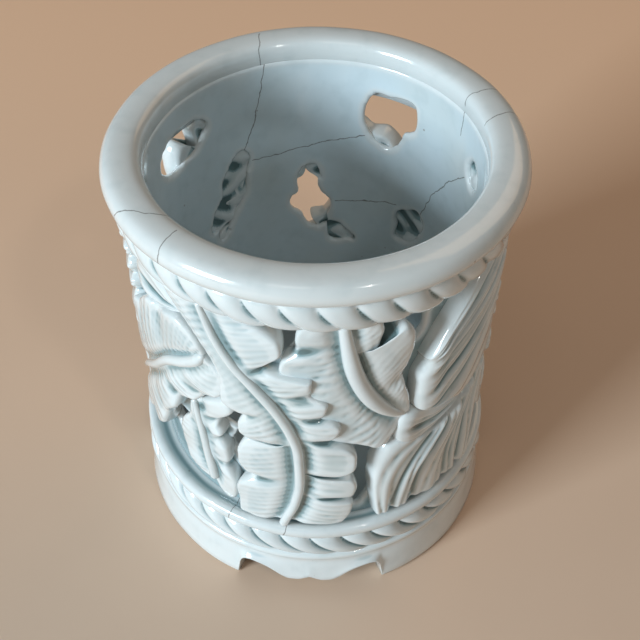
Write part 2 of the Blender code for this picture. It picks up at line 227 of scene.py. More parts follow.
# %% [markdown]
# A node tree is written as a chain of small steps. Made one socket at a time it would fill pages, so this
# short class adds a node, fills in its sockets and hands back its output.

# %% Node helpers
class Recipe:
    """A node tree with short ways to add and join nodes."""

    def __init__(self, name):
        self.material = bpy.data.materials.new(name)
        self.material.use_nodes = True
        self.tree = self.material.node_tree
        self.shader = self.tree.nodes["Principled BSDF"]

    def put(self, target, value):
        if isinstance(value, bpy.types.NodeSocket):
            self.tree.links.new(value, target)
        else:
            target.default_value = value

    def node(self, kind, **settings):
        made = self.tree.nodes.new(kind)
        for key, value in settings.items():
            setattr(made, key, value)
        return made

    def sum(self, operation, a, b=0.0, c=0.0):
        made = self.node("ShaderNodeMath", operation=operation)
        for socket, value in zip(made.inputs, (a, b, c)):
            self.put(socket, value)
        return made.outputs[0]

    def vector(self, operation, a, b=(0.0, 0.0, 0.0), scale=1.0):
        made = self.node("ShaderNodeVectorMath", operation=operation)
        self.put(made.inputs[0], a)
        self.put(made.inputs[1], b)
        if operation == "SCALE":
            self.put(made.inputs["Scale"], scale)
        return made.outputs["Value"] if operation in ("LENGTH", "DOT_PRODUCT") else made.outputs["Vector"]

    def step(self, value, low_end, high_end):
        made = self.node("ShaderNodeMapRange", interpolation_type="SMOOTHSTEP")
        self.put(made.inputs["Value"], value)
        made.inputs["From Min"].default_value = low_end
        made.inputs["From Max"].default_value = high_end
        return made.outputs["Result"]

    def blend(self, share, a, b):
        made = self.node("ShaderNodeMix", data_type="RGBA")
        self.put(made.inputs["Factor"], share)
        self.put(made.inputs["A"], a)
        self.put(made.inputs["B"], b)
        return made.outputs["Result"]

    def split(self, place):
        made = self.node("ShaderNodeSeparateXYZ")
        self.put(made.inputs[0], place)
        return made.outputs

    def joined(self, x, y):
        made = self.node("ShaderNodeCombineXYZ")
        self.put(made.inputs[0], x)
        self.put(made.inputs[1], y)
        return made.outputs[0]

    def noise(self, place, scale, detail=2.0):
        made = self.node("ShaderNodeTexNoise")
        self.put(made.inputs["Vector"], place)
        made.inputs["Scale"].default_value = scale
        made.inputs["Detail"].default_value = detail
        return made.outputs["Fac"], made.outputs["Color"]


# %% [markdown]
# ### Cracks in the glaze
# The old pot has a few hairline cracks, dark with dust. They are finer than any face, so cutting them into
# the mesh would take far too many faces, and they are drawn in the material. A crack is a chain of straight
# steps on a flat sheet. The node tree measures how far the shaded point is from the nearest step, and noise
# makes the line wander.

# %% Distance to the nearest crack
CRACK_WIDTH = 0.13 * MM
CRACK_CORE = 0.3
CRACK_FADE = 1.8
WANDER_SCALE = 330.0


def near_step(recipe, spot, start, end):
    """Distance from a spot to the straight step between two flat places."""
    step = tuple(e - s for s, e in zip(start, end))
    square = sum(v * v for v in step)
    away = recipe.vector("SUBTRACT", spot, start)
    share = recipe.vector("DOT_PRODUCT", away, tuple(v / square for v in step))
    clamped = recipe.sum("MINIMUM", recipe.sum("MAXIMUM", share, 0.0), 1.0)
    foot = recipe.vector("SCALE", step, scale=clamped)
    return recipe.vector("LENGTH", recipe.vector("SUBTRACT", away, foot))


def crack_line(recipe, place, flat, chains, sway):
    """1 on the chains of flat places and 0 off them. Noise moves the line by up to half of sway mm."""
    wander = recipe.vector("SUBTRACT", recipe.noise(place, WANDER_SCALE, 3.0)[1], (0.5, 0.5, 0.5))
    spot = recipe.vector("ADD", flat, recipe.vector("SCALE", wander, scale=sway * MM))
    spot = recipe.vector("MULTIPLY", spot, (1.0, 1.0, 0.0))
    nearest = 1.0
    for chain in chains:
        for start, end in zip(chain, chain[1:]):
            nearest = recipe.sum("MINIMUM", nearest, near_step(recipe, spot, start, end))
    line = recipe.step(nearest, CRACK_CORE * CRACK_WIDTH, CRACK_FADE * CRACK_WIDTH)
    return recipe.sum("SUBTRACT", 1.0, line)


# %% [markdown]
# Most cracks run over the side of the pot, so their flat sheet is the side unrolled: arc length across and
# height up. A crack over the rim runs from the bore outwards, where angle and height can't place it, so
# there the flat sheet is the pot's plan.

# %% Cracks on the side and over the rim
SIDE_SWAY = 1.6
RIM_SWAY = 1.4


def side_cracks(cracks, around, middle=0.0):
    """Cracks as lists of (angle, height) places, on a side at that distance from the axis.

    The unrolled side starts and ends opposite the middle angle."""
    chains = [[(math.radians(a - middle) * around * MM, h * MM, 0.0) for a, h in crack] for crack in cracks]
    cosine, sine = math.cos(math.radians(middle)), math.sin(math.radians(middle))

    def line(recipe, place):
        x, y, z = recipe.split(place)
        across = recipe.sum("ADD", recipe.sum("MULTIPLY", x, cosine), recipe.sum("MULTIPLY", y, sine))
        inward = recipe.sum("SUBTRACT", recipe.sum("MULTIPLY", x, sine), recipe.sum("MULTIPLY", y, cosine))
        arc = recipe.sum("MULTIPLY", recipe.sum("ARCTAN2", across, inward), around * MM)
        return crack_line(recipe, place, recipe.joined(arc, z), chains, SIDE_SWAY)

    return line


def rim_cracks(cracks):
    """Cracks over the rim as lists of (angle, distance from the axis) places."""
    chains = [[tuple(on_pot(np.array(float(a)), 0.0, r) * (1, 1, 0)) for a, r in crack] for crack in cracks]
    chains = [[tuple(map(float, place)) for place in chain] for chain in chains]

    def line(recipe, place):
        x, y, _ = recipe.split(place)
        return crack_line(recipe, place, recipe.joined(x, y), chains, RIM_SWAY)

    return line


# %% [markdown]
# ### The glaze itself
# One recipe serves every piece, because the pot was dipped once. Its colour is built up in layers: the body
# colour with slow clouds, thin glaze on ridges, pooled glaze with painted shade in hollows, near-black
# painted shade in the deepest hollows, a fine mottle, and a few iron specks. A clear coat over a slightly
# soft surface gives the glassy look. The rim and the inside differ only in their body colour. The rim's body
# colour is darker and greyer, as painted shade on its top.

# %% Colours of the glaze
THIN_GLAZE = (0.75, 0.785, 0.78, 1.0)
BODY_GLAZE = (0.55, 0.635, 0.65, 1.0)
# The pooled colour below is pooled glaze and painted shade in hollows. The deep colour after it is near-black
# painted shade for the deepest hollows and gaps.
POOLED_GLAZE_AND_SHADE = (0.19, 0.30, 0.315, 1.0)
DEEP_PAINTED_SHADE = (0.06, 0.11, 0.11, 1.0)
WARM_GLAZE = (0.59, 0.63, 0.60, 1.0)
# The rim's body colour is darker and greyer: painted shade on the rim's top.
RIM_SHADED_BODY = (0.475, 0.50, 0.465, 1.0)
INNER_BODY = (0.66, 0.76, 0.80, 1.0)
CRACK_COLOUR = (0.11, 0.10, 0.085, 1.0)
SPECK_COLOUR = (0.20, 0.15, 0.10, 1.0)
CLOUD_SCALE = 26.0
MOTTLE_SCALE = 190.0
SPECK_SCALE = 160.0
SPECK_PATCHES = 60.0
ORANGE_PEEL = 420.0


# %% Layers of the glaze
def pooled_and_shaded_colour(recipe, place, body):
    """Body colour with clouds, pale on ridges, pooled blue-green glaze with painted shade in hollows, and
    near-black painted shade in the deepest.
    """
    hollow = recipe.node("ShaderNodeAttribute", attribute_name="hollow").outputs["Fac"]
    cloud = recipe.step(recipe.noise(place, CLOUD_SCALE, 3.0)[0], 0.40, 0.72)
    warmer = tuple(0.5 * (a + b) for a, b in zip(body, WARM_GLAZE))
    colour = recipe.blend(cloud, body, warmer)
    # Thin glaze on ridges, then pooled glaze with painted shade in hollows, then near-black painted shade in
    # the deepest.
    for low_end, high_end, share, layer in (
        (0.05, -0.75, 0.8, THIN_GLAZE),
        (0.0, 0.85, 0.85, POOLED_GLAZE_AND_SHADE),
        (0.95, 1.5, 0.75, DEEP_PAINTED_SHADE),
    ):
        amount = recipe.sum("MULTIPLY", recipe.step(hollow, low_end, high_end), share)
        colour = recipe.blend(amount, colour, layer)
    return colour


def specks(recipe, place):
    """1 on the few small iron specks, which come in patches."""
    cells = recipe.node("ShaderNodeTexVoronoi")
    recipe.put(cells.inputs["Vector"], place)
    cells.inputs["Scale"].default_value = SPECK_SCALE
    spot = recipe.sum("SUBTRACT", 1.0, recipe.step(cells.outputs["Distance"], 0.03, 0.075))
    patch = recipe.step(recipe.noise(place, SPECK_PATCHES, 0.0)[0], 0.60, 0.66)
    return recipe.sum("MULTIPLY", spot, patch)


def glassy(shader):
    """The parts of the shader that are the same all over."""
    shader.inputs["IOR"].default_value = 1.52
    shader.inputs["Coat Weight"].default_value = 0.6
    shader.inputs["Coat Roughness"].default_value = 0.04
    shader.inputs["Subsurface Weight"].default_value = 0.12
    shader.inputs["Subsurface Radius"].default_value = (0.8, 1.0, 1.0)
    shader.inputs["Subsurface Scale"].default_value = 1.2 * MM


# %% Put the layers together
def glaze(name, body=BODY_GLAZE, cracked=None, darkness=0.78, open_cracks=True):
    """Celadon glaze. Open cracks also dent the surface; worn ones are flush with it."""
    recipe = Recipe(name)
    place = recipe.node("ShaderNodeTexCoord").outputs["Object"]
    mottle = recipe.noise(place, MOTTLE_SCALE, 2.0)[0]
    colour = pooled_and_shaded_colour(recipe, place, body)
    colour = recipe.blend(recipe.sum("MULTIPLY", recipe.step(mottle, 0.45, 0.8), 0.12), colour, POOLED_GLAZE_AND_SHADE)
    colour = recipe.blend(recipe.sum("MULTIPLY", specks(recipe, place), 0.6), colour, SPECK_COLOUR)
    height = recipe.sum("MULTIPLY", recipe.noise(place, ORANGE_PEEL, 2.0)[0], 0.5)
    if cracked:
        line = cracked(recipe, place)
        colour = recipe.blend(recipe.sum("MULTIPLY", line, darkness), colour, CRACK_COLOUR)
        height = recipe.sum("SUBTRACT", height, line) if open_cracks else height
    bump = recipe.node("ShaderNodeBump")
    bump.inputs["Strength"].default_value = 0.10
    bump.inputs["Distance"].default_value = 0.15 * MM
    recipe.put(bump.inputs["Height"], height)
    gloss = recipe.node("ShaderNodeMapRange")
    recipe.put(gloss.inputs["Value"], mottle)
    gloss.inputs["To Min"].default_value = 0.10
    gloss.inputs["To Max"].default_value = 0.20
    recipe.put(recipe.shader.inputs["Base Color"], colour)
    recipe.put(recipe.shader.inputs["Normal"], bump.outputs["Normal"])
    recipe.put(recipe.shader.inputs["Roughness"], gloss.outputs["Result"])
    glassy(recipe.shader)
    return recipe.material


LEAF_GLAZE = glaze("leaf_glaze")
print("leaf glaze nodes:", len(LEAF_GLAZE.node_tree.nodes))


# %% [markdown]
# ### Finishing
# Every piece ends the same way. It is bent with the pot's warp, shaded smooth, measured for hollows and
# glazed. Then it is parented to the pot's root, and the imported node that it stands for is hidden.

# %% Finish a piece
def finish_piece(piece, node, material, rounds=24, depth=0.22, ground=0.0):
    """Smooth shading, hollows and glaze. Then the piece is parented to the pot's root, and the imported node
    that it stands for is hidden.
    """
    settle(piece)
    for polygon in piece.data.polygons:
        polygon.use_smooth = True
    mark_hollows(piece, rounds, depth, ground)
    piece.data.materials.clear()
    piece.data.materials.append(material)
    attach(piece, "root")
    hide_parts(node)
    print(node, len(piece.data.polygons), "faces")


# %% [markdown]
# ## Turned rings
# The rim, the rope bands, the bead and the foot are all turned about the pot's axis, as on a potter's
# wheel. A torus could be pushed into shape, but its section stays nearly round. Here each section is drawn
# as a small closed outline by extruding one point from place to place, and spun through a full turn.

# %% Draw and spin an outline
def turned(name, outline, steps):
    """A ring from a closed outline of (distance from the axis, height) places."""
    bpy.ops.object.select_all(action="DESELECT")
    distance, height = outline[0]
    bpy.ops.mesh.primitive_plane_add(size=MM, location=(distance * MM, 0, height * MM))
    ring = bpy.context.object
    ring.name = name
    bpy.ops.object.transform_apply(location=True)
    bpy.ops.object.mode_set(mode="EDIT")
    bpy.ops.mesh.merge(type="CENTER")
    for here, there in zip(outline, outline[1:] + outline[:1]):
        step = ((there[0] - here[0]) * MM, 0, (there[1] - here[1]) * MM)
        bpy.ops.mesh.extrude_region_move(TRANSFORM_OT_translate={"value": step})
    bpy.ops.mesh.select_all(action="SELECT")
    bpy.ops.mesh.remove_doubles(threshold=0.01 * MM)
    bpy.ops.mesh.spin(steps=steps, angle=2 * math.pi, center=(0, 0, 0), axis=(0, 0, 1), use_auto_merge=True)
    bpy.ops.mesh.select_all(action="SELECT")
    bpy.ops.mesh.remove_doubles(threshold=0.01 * MM)
    bpy.ops.mesh.normals_make_consistent(inside=False)
    bpy.ops.object.mode_set(mode="OBJECT")
    return ring


def soften(piece, levels):
    modifier = piece.modifiers.new("Soften", "SUBSURF")
    modifier.levels = levels
    modifier.render_levels = levels
    bpy.context.view_layer.objects.active = piece
    bpy.ops.object.modifier_apply(modifier=modifier.name)


# %% [markdown]
# ### Rim
# The rim is a thick ring with a broad, gently domed top and a rounded lip on both sides. Its outline has a
# dozen places, and Subdivision Surface rounds them, which is how a wet sponge rounds the lip.

# %% Rim
RIM_LOW = low("rim_ring")
RIM_HIGH = high("rim_ring")
RIM_OUTSIDE = outside("rim_ring")
LAP = 1.6
rim_outline = [
    (RIM_OUTSIDE - 0.5, RIM_HIGH - 1.9),
    (RIM_OUTSIDE + 0.2, RIM_HIGH - 3.8),
    (RIM_OUTSIDE - 0.3, RIM_HIGH - 5.8),
    (RIM_OUTSIDE - 2.4, RIM_LOW),
    (RIM_OUTSIDE - 3.6, RIM_LOW - LAP),
    (BORE + 1.2, RIM_LOW - LAP),
    (BORE + 0.15, RIM_HIGH - 6.0),
    (BORE + 0.1, RIM_HIGH - 3.4),
    (BORE + 0.5, RIM_HIGH - 1.3),
    (BORE + 2.0, RIM_HIGH - 0.15),
    (BORE + 4.6, RIM_HIGH + 0.1),
    (RIM_OUTSIDE - 3.6, RIM_HIGH - 0.05),
    (RIM_OUTSIDE - 1.7, RIM_HIGH - 0.6),
]
rim = turned("rim", rim_outline, 96)
soften(rim, 2)
print("rim outline places:", len(rim_outline))

# %% [markdown]
# The rim has been handled for years, so its cracks are worn flush. Its body colour is darker and greyer than
# the rest. This is painted shade on the rim's top, which the low window light hardly reaches. Its own body
# colour and its own cracks are all that sets its material apart.

# %% Glaze of the rim
RIM_CRACKS = (
    ((-49.5, 44.5), (-53.5, 49), (-61.5, 54.5)),
    ((-42.4, 47), (-41.4, 54.5)),
    ((116.2, 43.5), (114.8, 54.5)),
    ((100.6, 43.5), (102.9, 50), (103.2, 52)),
    ((201.2, 43.5), (198.8, 50)),
)
# Painted shade: the rim's darker, greyer body colour.
rim_glaze = glaze("rim_glaze", RIM_SHADED_BODY, rim_cracks(RIM_CRACKS), 0.72, open_cracks=False)
finish_piece(rim, "rim_ring", rim_glaze)

# %% [markdown]
# ### Rope bands
# Each band is a half-round coil pressed into slanting strands, like a twisted rope. Strands could be
# modelled one by one and arrayed, but they run into each other at both edges of the band. So a band is spun
# with many steps, and its points then sink towards the grooves between strands. The grooves lean further
# over near the foot of the band, which gives the strands their leaf-like S shape.

# %% Groove a band into strands
STRANDS = 36
PITCH = 360 / STRANDS
COLUMNS_PER_STRAND = 14
ROPE_ROWS = 22
ROPE_LAP = 0.5
ROPE_ROOT = WALL_OUTSIDE - 0.6
HAND_WAVER = 0.15


def rope_outline(bottom, top, reach, bulge, shoulder):
    """A belly that stands out to reach mm from the axis, with shoulders at that share of its depth."""
    outline = [(ROPE_ROOT, top), (ROPE_ROOT, bottom)]
    for i in range(ROPE_ROWS + 1):
        share = i / ROPE_ROWS
        belly = shoulder + (1 - shoulder) * math.sin(math.pi * share) ** bulge
        outline.append((WALL_OUTSIDE + (reach - WALL_OUTSIDE) * belly, bottom + (top - bottom) * share))
    return outline


def rope(node, reach, lean, first_groove, bulge, groove, scallop, shoulder, crease):
    """A band of strands. Grooves are groove mm deep, with a sharp crease at their bottom."""
    bottom, top = low(node) - ROPE_LAP, high(node) + ROPE_LAP
    outline = rope_outline(bottom, top, reach, bulge, shoulder)
    band = turned(node.replace("_band", ""), outline, STRANDS * COLUMNS_PER_STRAND)
    angle, height, radius = round_pot(band)
    share = np.clip((height - bottom) / (top - bottom), 0, 1)
    strand = (angle - first_groove - lean * (1 - share) ** 1.6) / PITCH
    across = np.abs(2 * (strand - np.floor(strand)) - 1)
    sink = groove * (0.75 * across**2.6 + crease * across**14)
    sink = sink * (0.3 + 0.7 * np.sin(math.pi * share) ** 0.6)
    hand = HAND_WAVER * np.sin(np.floor(strand) * 2.4)
    outer = radius > WALL_OUTSIDE
    radius = np.where(outer, radius - sink + hand, radius)
    tuck = np.where(outer, (0.5 - share) * scallop * across**3, 0)
    write_points(band, on_pot(angle, height + tuck, radius))
    return band


# %% Both rope bands
# For each: reach, lean, first groove, bulge, groove, scallop, shoulder, crease.
ROPES = (
    ("upper_rope_band", 52.0, 8.0, -10.3, 0.22, 1.7, 0.1, 0.3, 0.08),
    ("lower_rope_band", 52.3, 13.0, -12.5, 0.4, 2.8, 0.3, 0.5, 0.35),
)
for node, *shape in ROPES:
    finish_piece(rope(node, *shape), node, glaze(node.replace("_band", "_glaze")), 40, 0.3)

# %% [markdown]
# ### Bead
# A half-round moulding stands between the lower rope and the leaves, with a gutter behind it where glaze
# gathers. The hollow tint in the gutter is pooled glaze and painted shade. It could be a plain torus, but the
# gutter is part of the same clay, so both are spun from one outline.

# %% Bead
BEAD_LOW = low("bead_ring")
BEAD_HIGH = high("bead_ring")
BEAD_OUTSIDE = outside("bead_ring")
BEAD_MIDDLE = (BEAD_LOW + BEAD_HIGH) / 2
bead_outline = [
    (BEAD_OUTSIDE - 1.1, BEAD_HIGH - 0.2),
    (BEAD_OUTSIDE + 0.15, BEAD_MIDDLE + 1.2),
    (BEAD_OUTSIDE + 0.15, BEAD_MIDDLE - 1.2),
    (BEAD_OUTSIDE - 1.1, BEAD_LOW - 0.1),
    (WALL_OUTSIDE + 1.5, BEAD_LOW - 0.9),
    (WALL_OUTSIDE - 1.2, BEAD_LOW - 0.9),
    (WALL_OUTSIDE - 1.2, BEAD_MIDDLE + 1.5),
    (WALL_OUTSIDE + 0.6, BEAD_MIDDLE + 0.8),
    (WALL_OUTSIDE + 2.2, BEAD_MIDDLE + 1.2),
    (BEAD_OUTSIDE - 2.6, BEAD_HIGH - 0.3),
]
bead = turned("bead", bead_outline, 120)
soften(bead, 2)
BEAD_CRACKS = (((-28.5, 23), (-27.8, 29.5)), ((-10.5, 23), (-9.5, 26), (-8.6, 30)))
finish_piece(bead, "bead_ring", glaze("bead_glaze", cracked=side_cracks(BEAD_CRACKS, BEAD_OUTSIDE)))

# %% [markdown]
# ### Foot
# The foot is a flared band under a small ridge. Three cut-outs leave three bracket feet: each cut-out is
# two arches with a scalloped tongue between them. A Boolean could cut them out, but it leaves hard, ragged
# corners where glaze would have rounded them. Here the ring is spun whole, and the band is then drawn up,
# column by column, to the line that the potter's knife followed. The line is half a cut-out, from its
# middle to the middle of a foot.

# %% Foot
FOOT_HIGH = high("foot_ring")
FOOT_OUTSIDE = outside("foot_ring")
FOOT_WALL = 7.0
FIRST_CUT = -1.5
CUT_PITCH = 120
FOOT_LEDGE = 4.0
CUT_LINE = (
    (0.0, 5.8),
    (1.6, 5.0),
    (4.0, 4.0),
    (6.5, 4.0),
    (9.0, 5.2),
    (11.0, 6.8),
    (13.0, 8.2),
    (16.0, 9.4),
    (19.0, 9.9),
    (21.2, 9.4),
    (22.6, 7.8),
    (23.3, 5.0),
    (23.9, 0.0),
    (60.0, 0.0),
)


def cut_height(angle):
    off_middle = np.abs((angle - FIRST_CUT + CUT_PITCH / 2) % CUT_PITCH - CUT_PITCH / 2)
    return flow(CUT_LINE, off_middle)[:, 0]


FOOT_TOP = FOOT_OUTSIDE - 1.4
foot_outline = [
    (FOOT_TOP - 1.2, FOOT_HIGH + 0.4),
    (FOOT_TOP - 0.2, FOOT_HIGH - 0.1),
    (FOOT_TOP + 0.05, FOOT_HIGH - 0.8),
    (FOOT_TOP - 0.1, FOOT_HIGH - 1.6),
    (FOOT_TOP - 0.35, FOOT_HIGH - 2.3),
    (FOOT_TOP - 0.3, FOOT_HIGH - 3.6),
    (FOOT_TOP, FOOT_HIGH - 4.7),
    (FOOT_OUTSIDE - 1.05, 8.0),
    (FOOT_OUTSIDE - 0.7, 5.5),
    (FOOT_OUTSIDE - 0.35, 3.0),
    (FOOT_OUTSIDE - 0.1, 1.2),
    (FOOT_OUTSIDE - 0.4, 0.35),
    (FOOT_OUTSIDE - 1.3, 0.0),
    (FOOT_OUTSIDE - 3.5, 0.0),
    (FOOT_OUTSIDE - FOOT_WALL + 1.2, 0.0),
    (FOOT_OUTSIDE - FOOT_WALL + 0.3, 0.3),
    (FOOT_OUTSIDE - FOOT_WALL, 1.2),
    (FOOT_OUTSIDE - FOOT_WALL, 4.5),
    (FOOT_OUTSIDE - FOOT_WALL - 0.2, FOOT_HIGH - 4.8),
    (FOOT_OUTSIDE - FOOT_WALL - 1.6, FOOT_HIGH - FOOT_LEDGE),
    (bore("foot_ring"), FOOT_HIGH - FOOT_LEDGE),
    (bore("foot_ring"), FOOT_HIGH - 0.5),
    (WALL_OUTSIDE, FOOT_HIGH + 0.4),
]
foot = turned("foot", foot_outline, 720)
foot_angle, foot_height, foot_radius = round_pot(foot)
BAND_HEIGHT = FOOT_HIGH - FOOT_LEDGE + 0.1
draw_up = cut_height(foot_angle) * np.clip(1 - foot_height / BAND_HEIGHT, 0, 1)
write_points(foot, on_pot(foot_angle, foot_height + draw_up, foot_radius))
finish_piece(foot, "foot_ring", glaze("foot_ring_glaze"), 30, 0.3)

# %% [markdown]
# ### Floor
# The floor is a slab of clay inside the pot, and glaze gathers at its edge. The hollow tint at the edge is
# pooled glaze and painted shade. A bare cylinder has one flat face at each end, too few to carry the hollow
# attribute, so both ends are inset in steps into a very shallow dish.

# %% Floor
FLOOR_LOW = low("floor_slab")
FLOOR_HIGH = high("floor_slab")
floor_height = FLOOR_HIGH - FLOOR_LOW
bpy.ops.object.select_all(action="DESELECT")
bpy.ops.mesh.primitive_cylinder_add(
    vertices=96, radius=outside("floor_slab") * MM, depth=floor_height * MM,
    location=(0, 0, (FLOOR_LOW + floor_height / 2) * MM), end_fill_type="NGON",
)
floor_slab = bpy.context.object
floor_slab.name = "floor"
bpy.ops.object.transform_apply(location=True)
bpy.ops.object.mode_set(mode="EDIT")
bpy.ops.mesh.select_all(action="DESELECT")
bpy.ops.object.mode_set(mode="OBJECT")
for polygon in floor_slab.data.polygons:
    polygon.select = abs(polygon.normal.z) > 0.5
bpy.ops.object.mode_set(mode="EDIT")
DISH_STEPS = ((2.4, 0.0), (1.5, -0.4), (6.0, -0.3), (9.0, -0.1), (9.0, 0.0), (9.0, 0.0))
for thickness, depth in DISH_STEPS:
    bpy.ops.mesh.inset(thickness=thickness * MM, depth=depth * MM)
bpy.ops.mesh.poke()
bpy.ops.object.mode_set(mode="OBJECT")
finish_piece(floor_slab, "floor_slab", glaze("floor_glaze"), 6, 0.3)

# %% [markdown]
# ## Pierced wall
# The inner wall is smooth inside and pierced with irregular openings between the leaves. Booleans with a
# cutter for each opening would work, but they leave long thin faces that shade badly. Here a grid is rolled
# up into a cylinder, the faces inside each opening are deleted, and the loose edge is drawn onto the
# opening's outline. A wall thickness and a subdivision then round the edges as the glaze does.

# %% The openings in the wall
# Each opening is a ring of (angle, height) places, seen from outside.
OPENINGS = {
    "front_top": ((-17, 94), (-12, 93.5), (-7, 98.5), (-4, 104), (-4.5, 109), (-12, 110), (-19, 108.5),
                  (-15, 101)),
    "front_left": ((-24, 74.5), (-22, 68), (-21, 63), (-26, 61), (-33, 62), (-32, 66), (-29, 70)),
    "front_low": ((-21, 61), (-22, 53), (-25, 50), (-29, 52), (-28, 57), (-25, 61)),
    "front_notch": ((-20, 49.5), (-21, 45), (-25, 44.5), (-26, 48)),
    "front_slit": ((15.5, 65), (19, 58), (19, 47), (18, 35), (15, 31), (11, 34), (11, 47), (10, 58)),
    "top_gap": ((18, 100), (22, 97.5), (26, 103), (25, 109), (18, 109)),
    "right_gap": ((29, 95), (32, 94), (35.5, 101), (38, 108), (29, 109), (27.5, 103)),
    "left_gap": ((-40, 99.5), (-39, 103), (-44, 107), (-49, 107.5), (-46, 103)),
    "left_low": ((-47, 50), (-46, 45), (-50, 40.5), (-58, 42), (-62, 47), (-56, 51)),
    "side_notch": ((83, 74.5), (85, 68), (86, 63), (81, 61), (74, 62), (75, 66), (78, 70)),
    "side_slit": ((122, 62), (125, 55), (124, 45), (121, 36), (118, 45), (118, 56)),
    "back_cross": (
        (179.5, 82), (184.5, 82), (187, 78.5), (187.5, 74.5), (186.5, 72), (190.5, 69), (190, 66),
        (186, 63.5),
        (183, 58.5), (179, 57.5), (176.5, 62), (174.5, 65), (174.5, 68.5), (178.5, 71.5), (180, 74.5),
        (179, 78),
    ),
    "back_slit": ((172, 59.5), (175, 60), (175, 56), (174.5, 53), (168, 53.5), (163.5, 53.5), (168, 57)),
    "back_right": (
        (140, 107), (141.5, 110.5), (147, 110.8), (152, 109.8), (158, 109.8), (161.5, 104), (161, 98.5),
        (157, 94), (152, 92.5), (148, 94.5), (145.5, 99.5), (140.5, 102.5),
    ),
    "back_left": (
        (225, 107), (230, 110), (237, 110.3), (244, 110.3), (251, 109), (254, 106), (250, 101), (243, 98.5),
        (238, 99.5), (232, 100), (228, 103),
    ),
    "back_upright": (
        (209.5, 92), (214, 90), (217, 86.5), (219.5, 82.5), (219, 78.5), (222, 75.5), (221.5, 69.5),
        (225, 65),
        (222, 61), (217.5, 64.5), (215, 69.5), (210.5, 74.5), (209, 79), (208.5, 83.5), (206.5, 88),
    ),
    "side_low": ((133, 71), (136, 74), (141, 72), (146, 69.5), (145, 64.5), (146, 60), (141, 60), (135, 65)),
    "side_top": ((99, 107), (104, 109), (109, 105), (107, 101), (102, 101)),
    "far_left": ((268, 62), (273, 58), (272, 50), (267, 47), (264, 54)),
}
GRID_COLUMNS = 200
GRID_ROWS = 66
WALL_LOW = FLOOR_HIGH - 1.0
WALL_HIGH = RIM_HIGH - 5.4


def measure_opening(ring, angle, height):
    """Bearing and distance of places from a ring's middle, the ring's reach there, and the middle."""
    places = np.array(ring, dtype=float)
    middle = places.mean(axis=0)
    offset = (places - middle) * (ARC, 1)
    corner = np.arctan2(offset[:, 1], offset[:, 0])
    order = np.argsort(corner)
    corner, reach = corner[order], np.hypot(*offset[order].T)
    keys = np.column_stack([
        np.concatenate([corner[-2:] - 2 * math.pi, corner, corner[:2] + 2 * math.pi]),
        np.concatenate([reach[-2:], reach, reach[:2]]),
    ])
    across = ((angle - middle[0] + 180) % 360 - 180) * ARC
    up = height - middle[1]
    bearing = np.arctan2(up, across)
    return bearing, np.hypot(across, up), flow(keys, bearing)[:, 0], middle


# %% Roll the wall up
bpy.ops.object.select_all(action="DESELECT")
bpy.ops.mesh.primitive_grid_add(x_subdivisions=GRID_COLUMNS, y_subdivisions=GRID_ROWS, size=2)
wall = bpy.context.object
wall.name = "wall"
flat = read_points(wall)
wall_angle = flat[:, 0] * 180
wall_height = WALL_LOW + (flat[:, 1] + 1) / 2 * (WALL_HIGH - WALL_LOW)
write_points(wall, on_pot(wall_angle, wall_height, BORE + 0 * wall_angle))
bpy.ops.object.mode_set(mode="EDIT")
bpy.ops.mesh.select_all(action="SELECT")
bpy.ops.mesh.remove_doubles(threshold=0.05 * MM)
bpy.ops.mesh.select_all(action="DESELECT")
bpy.ops.object.mode_set(mode="OBJECT")
print("wall rolled up from", len(wall.data.polygons), "faces")

# %% Cut the openings
centres = np.array([polygon.center for polygon in wall.data.polygons]) / MM
face_angle = np.degrees(np.arctan2(centres[:, 0], -centres[:, 1]))
opened = np.zeros(len(centres), dtype=bool)
for ring in OPENINGS.values():
    _, away, reach, _ = measure_opening(ring, face_angle, centres[:, 2])
    opened |= away < reach
wall.data.polygons.foreach_set("select", opened)
bpy.ops.object.mode_set(mode="EDIT")
bpy.ops.mesh.select_mode(type="FACE")
bpy.ops.mesh.delete(type="FACE")
bpy.ops.mesh.select_mode(type="VERT")
bpy.ops.mesh.select_all(action="DESELECT")
bpy.ops.mesh.select_non_manifold()
bpy.ops.object.mode_set(mode="OBJECT")
print("faces cut away for openings:", int(opened.sum()))

# %% Draw the loose edges onto the outlines
DRAWN_FROM = 2.4
loose = np.zeros(len(wall.data.vertices), dtype=bool)
wall.data.vertices.foreach_get("select", loose)
wall_angle, wall_height, wall_radius = round_pot(wall)
loose &= (wall_height > WALL_LOW + 1) & (wall_height < WALL_HIGH - 1)
for ring in OPENINGS.values():
    bearing, away, reach, middle = measure_opening(ring, wall_angle, wall_height)
    near = loose & (np.abs(away - reach) < DRAWN_FROM)
    wall_angle = np.where(near, middle[0] + reach * np.cos(bearing) / ARC, wall_angle)
    wall_height = np.where(near, middle[1] + reach * np.sin(bearing), wall_height)
write_points(wall, on_pot(wall_angle, wall_height, wall_radius))
print("points drawn onto outlines:", int(loose.sum()))

# %% Thickness and soft edges for the wall
WALL_THICKNESS = 2.2


def thicken(piece, thickness, offset):
    """Gives a sheet its thickness, outwards from its faces if the offset is 1 and inwards if it is -1."""
    modifier = piece.modifiers.new("Thickness", "SOLIDIFY")
    modifier.thickness = thickness * MM
    modifier.offset = offset
    bpy.context.view_layer.objects.active = piece
    bpy.ops.object.modifier_apply(modifier=modifier.name)


def face_outwards(piece):
    """Turns an open sheet's faces away from the pot's axis."""
    places, normals = np.empty(len(piece.data.polygons) * 3), np.empty(len(piece.data.polygons) * 3)
    piece.data.polygons.foreach_get("center", places)
    piece.data.polygons.foreach_get("normal", normals)
    outward = places.reshape(-1, 3)[:, :2] * normals.reshape(-1, 3)[:, :2]
    if outward.sum() < 0:
        piece.data.flip_normals()


